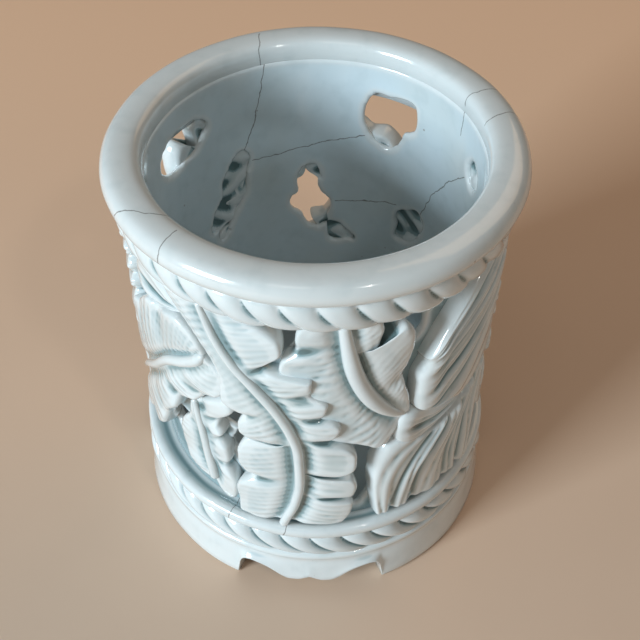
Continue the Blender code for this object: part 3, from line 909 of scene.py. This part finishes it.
face_outwards(wall)
thicken(wall, WALL_THICKNESS, 1)
soften(wall, 1)
WALL_CRACKS = (
    ((199, 122), (202, 110), (205, 100), (209.5, 91)),
    ((161, 95), (168, 93), (180, 90.3), (195, 87.7), (206, 87.5)),
    ((110, 101), (120, 94), (129, 84), (134, 74)),
    ((146, 73), (160, 70.5), (172, 68.5)),
    ((115.5, 123), (116.5, 112)),
)
wall_glaze = glaze("wall_glaze", INNER_BODY, side_cracks(WALL_CRACKS, BORE, 160.0))
# The wall's outer surface, the low ground between the leaves, gets pooled glaze and painted shade.
finish_piece(wall, "pierced_wall", wall_glaze, 5, 0.25, 0.75)

# %% [markdown]
# ## Leaves
# Every leaf is a banana leaf cut from a sheet of clay, torn along its edges. It could be sculpted, but then
# no two runs of this script would agree. So it is modelled on a grid whose one side runs along the rib and
# whose other side runs from the left edge over the rib to the right edge. Both edges are given as lists: how
# far along the rib (0 to 1), the angle, the height, and how far the lobe there is lifted. A torn place is a
# step in from the edge with the clay pushed down, so that the lobe over it casts a shadow.

# %% The shapes of the leaves
ARCHING = {
    "rib": ((-10.2, 28.6), (-9, 32), (-6, 40), (-4.5, 50), (-5, 62), (-7.2, 70), (-12, 79), (-18, 86),
            (-24, 92),
            (-29.5, 100), (-33.5, 109.5)),
    "slant": (3.0, -1.5),
    "left": ((0.00, -25, 28, 0.2), (0.05, -25.5, 31, 0.4), (0.10, -25.5, 36, 0.5), (0.15, -26, 40.5, 0.8),
             (0.19, -24.5, 44.5, 0.9), (0.215, -22.3, 46.3, 0.0), (0.235, -20.6, 48.3, -1.2),
             (0.265, -22.5, 51.5, 0.9), (0.31, -24.3, 55, 1.2), (0.35, -24.3, 59, 1.2),
             (0.385, -22.6, 63, 0.4),
             (0.405, -21.0, 64.8, -0.4), (0.43, -13.8, 62.4, -2.2), (0.452, -20.8, 66.3, 1.4),
             (0.48, -23.2, 67.8, 1.6), (0.52, -23.5, 70.5, 1.2), (0.555, -22.0, 73.9, -0.2),
             (0.58, -24.0, 75.2, 1.0), (0.61, -28, 77, 1.2), (0.65, -28.7, 79.5, 0.8), (0.70, -29, 84, 0.0),
             (0.76, -31, 89, -0.4), (0.83, -36, 96, -0.2), (0.90, -41, 102, 0.0), (1.00, -48, 109, 0.2)),
    "right": ((0.00, 7, 28, 0.0), (0.06, 10, 31, 0.4), (0.12, 12.2, 36, 1.0), (0.16, 12.6, 39.8, 1.1),
              (0.185, 6.5, 41.2, -1.6), (0.205, 12.3, 43, 1.2), (0.24, 13.5, 47, 1.1),
              (0.27, 11.5, 50.3, 0.6),
              (0.292, 2.0, 50.3, -2.4), (0.312, 8, 52.8, 1.2), (0.34, 12.6, 55.5, 1.6), (0.38, 13, 60, 1.2),
              (0.42, 10.5, 63.5, 0.8), (0.448, 3.6, 66.3, -1.8), (0.47, 6.0, 69.0, 1.0),
              (0.50, 8.0, 72.5, 1.2),
              (0.53, 5.6, 74.8, 0.4), (0.545, 2.3, 75.4, -1.2), (0.57, 3.4, 78.5, 0.8),
              (0.60, 4.2, 81.8, 1.0),
              (0.632, -0.8, 84.6, -0.8), (0.655, -0.6, 87.5, 0.6), (0.685, -0.5, 90.7, 1.0),
              (0.71, -8, 91.3, 0.4), (0.735, -15.5, 92.3, -1.4), (0.77, -12.5, 96.5, 0.8),
              (0.80, -8.6, 100.2, 1.2), (0.85, -9.4, 103.6, 0.9), (0.90, -14, 106.3, 0.0),
              (0.95, -19, 107.8, -0.8),
              (1.00, -25, 110, -0.6)),
    "rib_width": ((0, 1.35), (0.3, 1.45), (0.6, 1.4), (0.85, 1.1), (1, 0.9)),
}
CURLED = {
    "rib": ((28.5, 70.2), (24, 73), (20, 76.5), (16, 81.5), (13, 87), (10.5, 94), (9, 101), (7.6, 109.5)),
    "slant": (-4.5, -9.0),
    "left": ((0.00, 22, 60.8, 0.6), (0.06, 18.5, 60.3, 0.9), (0.12, 15, 62, 0.6), (0.20, 10, 63.5, 0.2),
             (0.30, 3, 66, 0.0), (0.40, -1, 72, 0.0), (0.52, -4, 79, 0.0), (0.65, -7, 87, 0.0),
             (0.74, -11, 92, 0.4), (0.80, -10, 96, 0.8), (0.845, -6.0, 99.5, -0.8), (0.89, -6.0, 103.5, 1.0),
             (0.94, -5.6, 106.5, 1.1), (1.00, -3, 110, 0.4)),
    "right": ((0.00, 30, 73, 0.4), (0.12, 29.3, 78, 0.6), (0.25, 27.6, 83, 0.6), (0.34, 27.2, 86.5, -0.4),
              (0.42, 28.5, 91.5, 0.8), (0.52, 29.7, 97.5, 1.4), (0.60, 29.2, 102, 1.8),
              (0.665, 26.0, 105.3, 1.6),
              (0.73, 21.6, 101.2, 0.3), (0.775, 19.0, 97.6, -0.8), (0.82, 19.0, 101.5, 0.5),
              (0.88, 19.8, 105.0, 0.8), (1.00, 18, 110, 0.3)),
    "rib_width": ((0, 0.35), (0.12, 1.5), (0.35, 2.35), (0.6, 2.3), (0.85, 1.8), (1, 1.5)),
}
SPREADING = {
    "rib": ((-33.5, 90.5), (-36.5, 87), (-42, 83), (-50, 78), (-60, 68.5), (-70, 60), (-81, 49)),
    "slant": (3.0, 3.0),
    "left": ((0.00, -32.2, 89.2, -0.9), (0.07, -26.6, 85, 0.3), (0.14, -26.5, 81, 0.9),
             (0.20, -28.5, 77.5, 1.1),
             (0.26, -31.5, 76.2, 0.6), (0.30, -35, 73, -0.8), (0.35, -38, 70.2, 0.6), (0.42, -43, 68.5, 1.0),
             (0.47, -47, 65, -0.9), (0.52, -48, 60.5, 0.9), (0.60, -53, 55, 1.1), (0.66, -56, 50.5, -0.4),
             (0.74, -59, 43.5, 0.8), (0.80, -64, 39.5, 0.9), (0.87, -69, 40.5, -0.3), (0.93, -75, 36, 0.7),
             (1.00, -84, 35, 0.0)),
    "right": ((0.00, -33.0, 90.4, -0.9), (0.06, -34.5, 93.5, 0.3), (0.13, -38.5, 97.5, 0.6),
              (0.22, -43.5, 99.3, 0.8), (0.30, -48.5, 98.0, 0.4), (0.36, -52.5, 96.6, -0.6),
              (0.44, -57, 96.5, 0.8), (0.54, -64, 91.5, 0.9), (0.60, -67, 87, -0.5), (0.68, -73, 85, 0.8),
              (0.76, -76, 79, -0.6), (0.86, -84, 74, 0.7), (1.00, -91, 58, 0.0)),
    "rib_width": ((0, 0.9), (0.06, 1.6), (0.2, 1.5), (0.6, 1.2), (1, 0.8)),
}
YOUNG = {
    "rib": ((-34.8, 37.2), (-35.6, 42), (-36.8, 47), (-38, 54), (-39.5, 61), (-41, 68)),
    "slant": (-5.0, -1.0),
    "left": ((0.00, -38, 36, 0.0), (0.09, -42.5, 37.8, 0.5), (0.20, -46.5, 40.3, 0.9),
             (0.30, -48.6, 43.2, 0.3),
             (0.38, -49.3, 47.5, 0.6), (0.49, -49.3, 52, 0.9), (0.62, -47.6, 56.6, 0.7),
             (0.76, -44.5, 60, 0.4),
             (1.00, -42.5, 67, 0.0)),
    "right": ((0.00, -33, 31.6, -0.4), (0.05, -28.5, 30.8, 0.4), (0.11, -26.0, 34.0, 0.8),
              (0.18, -25.2, 39.5, 1.0), (0.27, -26.4, 43.6, 0.8),
              (0.33, -29.4, 46.4, -0.5), (0.39, -27.6, 49.4, 0.9), (0.50, -28.2, 54.8, 0.9),
              (0.56, -31.6, 57.2, -0.6), (0.64, -29.2, 60.4, 0.9), (0.72, -31.6, 62.4, 0.4),
              (0.80, -31.5, 64.5, -1.2), (0.88, -28.5, 68.0, 0.6), (0.95, -24.2, 73.0, 1.2),
              (1.00, -27, 77, 0.2)),
    "rib_width": ((0, 0.9), (0.06, 1.5), (0.3, 1.4), (0.8, 1.1), (1, 0.8)),
}
YOUNG_OPEN = dict(YOUNG, right=YOUNG["right"][:10] + ((0.80, -34.0, 62.0, 0.3), (1.00, -38, 68, 0.0)))
print("edge places on the arching leaf:", len(ARCHING["left"]) + len(ARCHING["right"]))

# %% [markdown]
# ### Sheets of clay
# A leaf isn't a loose sheet: the clay goes back to the wall behind it, and its edge is cut back underneath,
# so that it throws a soft shadow. A Solidify modifier makes the back, and the back's points are then moved
# to the wall. Where an opening shows the back from inside the pot, it is lumpy, as clay that no tool has
# reached.

# %% Build a sheet from a grid
SPACING = 0.72
BACK = BORE + 1.9
UNDERCUT = 0.8
BEHIND_BEAD = 2.8
LUMP = 1.3


def inner_lumps(angle, height):
    """How far the back of a leaf bulges into an opening, in mm."""
    across = angle * ARC
    wave = np.sin(across / 2.3 + 1.7 * np.sin(height / 3.1)) * np.sin(height / 2.1 + np.sin(across / 3.7))
    return LUMP * np.clip(0.5 + 0.6 * wave, 0, 1)


def laid_sheet(name, angle, height, radius, back_angle, back_height):
    """A closed sheet of clay from arrays of places, backed down to the wall."""
    rows, columns = angle.shape
    radius = radius - BEHIND_BEAD * ease(PANEL_LOW + 2.0, PANEL_LOW - 0.8, height)
    bpy.ops.object.select_all(action="DESELECT")
    bpy.ops.mesh.primitive_grid_add(x_subdivisions=rows - 1, y_subdivisions=columns - 1, size=2)
    sheet = bpy.context.object
    sheet.name = name
    flat = read_points(sheet)
    i = np.rint((flat[:, 0] + 1) / 2 * (rows - 1)).astype(int)
    j = np.rint((flat[:, 1] + 1) / 2 * (columns - 1)).astype(int)
    write_points(sheet, on_pot(angle[i, j], height[i, j], radius[i, j]))
    face_outwards(sheet)
    thicken(sheet, 1, -1)
    places = read_points(sheet)
    count = len(i)
    behind = BACK - inner_lumps(back_angle[i, j], back_height[i, j])
    places[count:] = on_pot(back_angle[i, j], back_height[i, j], behind)
    write_points(sheet, places)
    soften(sheet, 1)
    return sheet


# %% [markdown]
# ### Ribbed leaves
# A potter presses the veins in with a comb, side by side from the rib to the edge, and leaves a channel
# beside the rib. A bump in the material would look flat from the side, so the veins are real relief. The
# grid's points are lifted by the sum of the veins, a gentle swell, the lobes' own lift and the channel, and
# dropped at the edge.

# %% The surface of half a leaf
VEIN_PITCH = 2.15
VEIN_DEPTH = 0.5
SWELL = 0.55
CHANNEL_PLACE = 2.6
CHANNEL_WIDTH = 1.9
CHANNEL_SHARE = 1 / 15
EDGE_ROUNDING = 1.2


def half_leaf(rib, edge, share, length, slant, seed):
    """Places and lift of half a leaf, from the rib to one edge."""
    width = np.hypot((edge[:, 0] - rib[:, 0]) * ARC, edge[:, 1] - rib[:, 1])[:, None]
    t = np.linspace(0, 1, max(8, int(np.median(width) / SPACING)))[None, :]
    angle = rib[:, :1] + (edge[:, :1] - rib[:, :1]) * t
    height = rib[:, 1:] + (edge[:, 1:2] - rib[:, 1:]) * t
    from_rib = t * width
    from_edge = (1 - t) * width
    along = share[:, None]
    bend = slant * t + 1.5 * t**2 + 0.5 * np.sin(along * 31 + 3 * t + seed)
    ridge = np.abs(np.sin(math.pi * (along * length + bend) / VEIN_PITCH)) ** 0.45
    strength = VEIN_DEPTH * ease(1.0, 3.8, from_rib) * (0.4 + 0.6 * ease(0.0, 2.5, from_edge))
    strength = strength * (0.8 + 0.35 * np.sin(along * 13 + 4 * t + 2 * seed))
    lift = strength * (ridge - 0.78)
    lift += SWELL * np.sin(math.pi * t) + edge[:, 2:3] * t**1.6
    channel = np.exp(-(((from_rib - CHANNEL_PLACE) / CHANNEL_WIDTH) ** 2))
    lift -= np.minimum(1.0, width * CHANNEL_SHARE) * channel
    lift += 0.18 * np.sin(along * 17 + seed) * np.sin(t * 5 + seed)
    lift -= round_over(from_edge, EDGE_ROUNDING)
    keep = np.clip(1 - UNDERCUT / np.maximum(width, 2), 0.3, 1)
    back_angle = rib[:, :1] + (angle - rib[:, :1]) * keep
    back_height = rib[:, 1:] + (height - rib[:, 1:]) * keep
    return angle, height, lift, back_angle, back_height


# %% A whole blade
def leaf_blade(name, form, base, turn, rise, seed):
    """A whole blade: the left half, the rib line and the right half in one grid."""
    length = line_length(form["rib"])[-1]
    share = np.linspace(0, 1, int(length / SPACING))
    rib = along_line(form["rib"], share)
    left = half_leaf(rib, flow(form["left"], share), share, length, form["slant"][0], seed)
    right = half_leaf(rib, flow(form["right"], share), share, length, form["slant"][1], seed + 2)
    angle, height, lift, back_angle, back_height = (
        np.concatenate([a[:, :0:-1], b], axis=1) for a, b in zip(left, right)
    )
    return laid_sheet(name, angle + turn, height + rise, base + lift, back_angle + turn, back_height + rise)


# %% [markdown]
# The midrib is a coil of clay, rolled thin at one end and laid on the blade. Pushing it up out of the blade
# would blur its sides, so it is its own piece: a curve with a round bevel whose radius changes along it,
# made a mesh.

# %% A midrib
RIB_PLACES = 90


def midrib(name, form, base, turn, rise):
    """A tapering coil with round ends, laid on the blade along its rib."""
    share = 0.5 - 0.5 * np.cos(np.linspace(0.01, math.pi - 0.01, RIB_PLACES))
    rib = along_line(form["rib"], share)
    width = flow(form["rib_width"], share)[:, 0]
    from_end = np.minimum(share, 1 - share) * line_length(form["rib"])[-1]
    short = 1 - np.clip(from_end / np.maximum(width, 0.8), 0, 1)
    width = width * np.sqrt(1 - short**2 * 0.98)
    places = on_pot(rib[:, 0] + turn, rib[:, 1] + rise, base + 0 * width)
    bpy.ops.object.select_all(action="DESELECT")
    bpy.ops.curve.primitive_nurbs_path_add()
    coil = bpy.context.object
    coil.name = name
    coil.data.splines.clear()
    line = coil.data.splines.new("POLY")
    line.points.add(len(places) - 1)
    for point, place, size in zip(line.points, places, width):
        point.co = (*place, 1.0)
        point.radius = size
    coil.data.bevel_depth = MM
    coil.data.bevel_resolution = 6
    coil.data.use_fill_caps = True
    bpy.ops.object.convert(target="MESH")
    bpy.ops.object.mode_set(mode="EDIT")
    bpy.ops.mesh.select_all(action="SELECT")
    bpy.ops.mesh.remove_doubles(threshold=0.01 * MM)
    bpy.ops.mesh.normals_make_consistent(inside=False)
    bpy.ops.object.mode_set(mode="OBJECT")
    return coil


# %% [markdown]
# Blades lie in two layers, so that one leaf passes over another. The front leaves stand further out. Each
# form is used again round the pot, turned to where it leaves the openings clear, and its own seed keeps the
# copies from matching.

# %% Lay the ribbed leaves
FRONT = 50.1
BEHIND = 48.8
BACK_TURN = 212
SIDE_TURN = 107
RIBBED = (
    ("arching_leaf_1", ARCHING, FRONT, 0, 0),
    ("curled_leaf_1", CURLED, BEHIND, 0, 0),
    ("spreading_leaf_1", SPREADING, FRONT - 0.2, 0, 0),
    ("young_leaf_1", YOUNG, BEHIND, 0, 0),
    ("young_leaf_2", YOUNG_OPEN, BEHIND, SIDE_TURN + 4, 0),
    ("arching_leaf_2", ARCHING, FRONT, SIDE_TURN, 0),
    ("curled_leaf_2", CURLED, BEHIND, SIDE_TURN, 0),
    ("arching_leaf_3", ARCHING, FRONT, BACK_TURN, 0),
    ("curled_leaf_3", CURLED, BEHIND, BACK_TURN, 0),
    ("spreading_leaf_2", SPREADING, FRONT - 0.2, BACK_TURN, 0),
    ("young_leaf_3", YOUNG_OPEN, BEHIND, BACK_TURN, 0),
)
for seed, (name, form, base, turn, rise) in enumerate(RIBBED):
    blade = leaf_blade(f"{name}_sheet", form, base, turn, rise, seed * 1.7)
    # The sheet's low parts near the wall get pooled glaze and painted shade.
    finish_piece(blade, f"{name}_blade", LEAF_GLAZE, ground=0.7)
    coil = midrib(f"{name}_coil", form, base - 0.1, turn, rise)
    finish_piece(coil, f"{name}_midrib", LEAF_GLAZE, 16)

# %% [markdown]
# ### Folded leaves
# On the right the leaves are seen edge on: long folds of clay lie side by side like the folds of a fan.
# Coils laid side by side would do for straight folds, but these spread and narrow. Such a sheet is given by
# the valleys between its folds, each drawn from where the fold springs to where it ends. The grid is
# stretched from valley to valley, and a rounded ridge stands between each two.

# %% The valleys of the folded leaves
FANNED = (
    ((36, 69.6), (41, 68.6), (46, 66.4), (50, 64.0), (57, 64.6), (66, 67), (76, 71)),
    ((31.2, 71.4), (36, 70.6), (44, 73.0), (52, 76.8), (60, 80.2), (76, 86)),
    ((30.6, 76.5), (36, 77.0), (43, 79.8), (51, 83.4), (60, 87.0), (76, 92)),
    ((31.2, 82.5), (37, 83.3), (44, 86.5), (52, 90.3), (61, 94.0), (76, 98)),
    ((33.6, 86.4), (37.5, 88.0), (43.5, 91.8), (51, 95.6), (60, 98.8), (75, 103)),
    ((34.2, 87.4), (38.0, 90.6), (43.0, 95.2), (50, 99.8), (58, 103.6), (70, 108)),
    ((33.8, 88.6), (36.8, 92.8), (41.5, 98.0), (48, 102.8), (55, 107.2), (64, 110.5)),
)
TUCKED = (
    ((25.0, 60.5), (29, 57.8), (34, 56.8), (40, 58.4), (46, 61.4), (51, 64.0)),
    ((24.2, 65.0), (29, 64.2), (35, 62.6), (40, 62.4), (46, 63.6), (51, 65.0)),
    ((26.5, 70.4), (31, 71.0), (36, 69.8), (41, 68.4), (46, 66.6), (51, 66.0)),
)
DRAPING = (
    ((27, 61.5), (22, 60.0), (18.0, 53.5), (17.5, 46.0), (18.2, 38.5), (19.0, 33.0), (19.8, 28.0)),
    ((41, 57.8), (36, 54.8), (30.8, 49.2), (27.8, 43.4), (26.1, 37.0), (25.5, 33.0), (25.3, 28.0)),
    ((47.5, 60.0), (44, 54.5), (40, 50.0), (36.4, 46.0), (34.3, 40.0), (33.5, 34.0), (33.3, 28.0)),
    ((54, 62), (52.5, 56.5), (50.4, 51.0), (48.6, 45.0), (47.6, 39.0), (47.3, 34.0), (47.2, 28.0)),
    ((62, 66), (60, 59), (57.6, 52), (56.2, 45), (55.2, 39), (54.6, 34), (54.4, 28.0)),
    ((71, 69), (68.5, 60), (66, 52), (64.5, 45), (63.4, 39), (62.6, 34), (62.2, 28.0)),
)


# %% Stretch a grid over the valleys
def stretch_over(valleys):
    """The grid's places, its rows' shares of the length, its columns' fold numbers, and its size in mm."""
    lengths = [line_length(valley)[-1] for valley in valleys]
    share = np.linspace(0, 1, int(max(lengths) / SPACING))
    lines = np.stack([along_line(valley, share) for valley in valleys])
    step = np.hypot(np.diff(lines[:, :, 0], axis=0) * ARC, np.diff(lines[:, :, 1], axis=0))
    columns = int(step.sum(axis=0).max() / SPACING)
    across = np.linspace(0, len(valleys) - 1, columns)
    knots = np.arange(float(len(valleys)))
    grid = np.empty((len(share), columns, 2))
    for row in range(len(share)):
        grid[row] = flow(np.column_stack([knots, lines[:, row]]), across)
    return grid, share, across, max(lengths), step.sum(axis=0).mean()


# %% The surface of a folded leaf
SHORT_VALLEY = 0.07
SIDE_ROUNDING = 1.6
START_ROUNDING = 2.6
END_ROUNDING = 1.6


def folded_leaf(name, valleys, base, turn, rise, fold, head, seed):
    """A sheet of rounded folds, fold mm high, that swells by head mm where the folds spring."""
    grid, share, across, length, width = stretch_over(valleys)
    count = len(valleys) - 1
    inside = across - np.minimum(np.floor(across), count - 1)
    ridge = np.sqrt(np.clip(4 * inside * (1 - inside), 0, 1)) ** 1.25
    drawn_in = share[:, None] * (1 - SHORT_VALLEY * (1 - ridge[None]))
    for column in range(len(across)):
        grid[:, column] = flow(np.column_stack([share, grid[:, column]]), drawn_in[:, column])
    wander = 0.3 * np.sin(5 * share[:, None] + across * 2 + seed)
    fine = np.abs(np.sin(math.pi * (inside * 2.5 + wander))) ** 0.6
    tall = fold * (0.75 + 0.25 * np.sin(2.3 * np.floor(across) + seed))
    reach = share[:, None] * length
    grown = ease(1.5, 9.0, reach) if head else 1.0
    lift = grown * (tall[None] * (ridge[None] - 0.55) + 0.8 * (fine - 0.6) * ridge[None])
    lift += head * np.exp(-(((reach - 4.5) / 3.5) ** 2)) * np.sin(math.pi * across[None] / count) ** 0.7
    lift += 0.35 * np.sin(4.5 * share[:, None] + across[None] * 1.3 + seed)
    from_side = np.minimum(across, count - across) / count * width
    lift -= round_over(from_side, SIDE_ROUNDING)[None]
    lift -= round_over(reach, START_ROUNDING)
    lift -= round_over(length - reach, END_ROUNDING)
    angle, height = grid[:, :, 0], grid[:, :, 1]
    return laid_sheet(name, angle + turn, height + rise, base + lift, angle + turn, height + rise)


# %% Lay the folded leaves
UPPER_TURN = -92
UPPER_RISE = 36.4
FOLDED = (
    ("fanned_leaf_1", FANNED, FRONT + 0.1, 0, 0, 1.9, 1.2),
    ("tucked_leaf_1", TUCKED, BEHIND + 0.6, 0, 0, 1.2, 1.3),
    ("draping_leaf_1", DRAPING, FRONT - 0.1, 0, 0, 2.1, 0.0),
    ("upper_leaf_1", TUCKED, BEHIND, UPPER_TURN, UPPER_RISE, 1.0, 0.5),
    ("draping_leaf_2", DRAPING, BEHIND, SIDE_TURN - 9, -4.8, 1.5, 0.0),
    ("fanned_leaf_2", FANNED, FRONT + 0.1, BACK_TURN, 0, 1.9, 1.2),
    ("tucked_leaf_2", TUCKED, BEHIND + 0.6, BACK_TURN, 0, 1.2, 1.3),
    ("draping_leaf_3", DRAPING, FRONT - 0.1, BACK_TURN, 0, 2.1, 0.0),
)
for seed, (name, valleys, base, turn, rise, fold, head) in enumerate(FOLDED):
    blade = folded_leaf(f"{name}_sheet", valleys, base, turn, rise, fold, head, seed * 2.1)
    # The sheet's low parts near the wall get pooled glaze and painted shade.
    finish_piece(blade, f"{name}_blade", LEAF_GLAZE, ground=0.7)

# %% [markdown]
# ## Studio
# The pot stands on a plain pale floor. Its colour turns warmer and brighter away from the camera: painted
# warm light, as from the fill behind the pot. A large cool light on the left and in front of it stands for a
# window, a weak warm fill keeps the right side soft, a small lamp sets the sparkle on the glaze, and a
# ceiling light lifts the rim. A picture of a room would light it too, but needs a file.

# %% Studio floor
NEAR_PAINT = (0.66, 0.485, 0.36, 1)
NEAR_PATCH = (0.69, 0.51, 0.38, 1)
# The far colour is painted warm light on the far floor.
FAR_WARM_LIGHT_PAINT = (0.88, 0.57, 0.37, 1)
bpy.ops.object.select_all(action="DESELECT")
bpy.ops.mesh.primitive_plane_add(size=6)
ground = bpy.context.object
ground.name = "studio_floor"
ground.location.z = -0.02 * MM
ground_recipe = Recipe("floor_paint")
ground_place = ground_recipe.node("ShaderNodeTexCoord").outputs["Object"]
patch = ground_recipe.noise(ground_place, 9.0, 3.0)[0]
# Painted warm light: the floor turns warmer and brighter away from the camera.
far_warm_light = ground_recipe.step(ground_recipe.split(ground_place)[1], -0.12, 0.30)
near_paint = ground_recipe.blend(ground_recipe.step(patch, 0.3, 0.7), NEAR_PAINT, NEAR_PATCH)
paint = ground_recipe.blend(far_warm_light, near_paint, FAR_WARM_LIGHT_PAINT)
ground_recipe.put(ground_recipe.shader.inputs["Base Color"], paint)
ground_recipe.shader.inputs["Roughness"].default_value = 0.7
ground.data.materials.append(ground_recipe.material)


# %% Lights
LIT_HEIGHT = 70


def soft_light(name, bearing, elevation, distance, size, power, colour):
    """An area light that faces the middle of the pot from a bearing round it and an elevation, in degrees."""
    middle = np.array([0, 0, LIT_HEIGHT * MM])
    turn, climb = math.radians(bearing), math.radians(elevation)
    away = np.array([math.sin(turn) * math.cos(climb), -math.cos(turn) * math.cos(climb), math.sin(climb)])
    bpy.ops.object.light_add(type="AREA", location=tuple(middle + away * distance))
    light = bpy.context.object
    light.name = name
    light.rotation_euler = (math.radians(90 - elevation), 0, turn)
    light.data.size = size
    light.data.energy = power
    light.data.color = colour
    return light


soft_light("window", -52, 20, 2.0, 0.66, 46, (0.76, 0.90, 1.0))
soft_light("warm_fill", 140, 46, 1.6, 0.9, 2.8, (1.0, 0.68, 0.42))
soft_light("lamp", 30, 50, 1.2, 0.07, 0.8, (1.0, 0.97, 0.92))
soft_light("ceiling", -20, 66, 1.8, 0.5, 1.0, (1.0, 0.97, 0.92))
world = bpy.data.worlds.new("studio")
world.use_nodes = True
world.node_tree.nodes["Background"].inputs["Color"].default_value = (0.86, 0.84, 0.80, 1)
world.node_tree.nodes["Background"].inputs["Strength"].default_value = 0.2
bpy.context.scene.world = world
bpy.context.scene.view_settings.view_transform = "Standard"

# %% [markdown]
# ### Camera
# The pot is looked at from above at about 45 degrees, near enough for its far side to look smaller.

# %% Camera
bpy.ops.object.camera_add(location=(0, -224.1 * MM, 294.3 * MM))
camera = bpy.context.object
camera.rotation_euler = (math.radians(43.69), math.radians(-0.36), math.radians(0.05))
camera.data.sensor_width = 36
camera.data.lens = 62.67
camera.data.clip_start = 0.01
bpy.context.scene.camera = camera
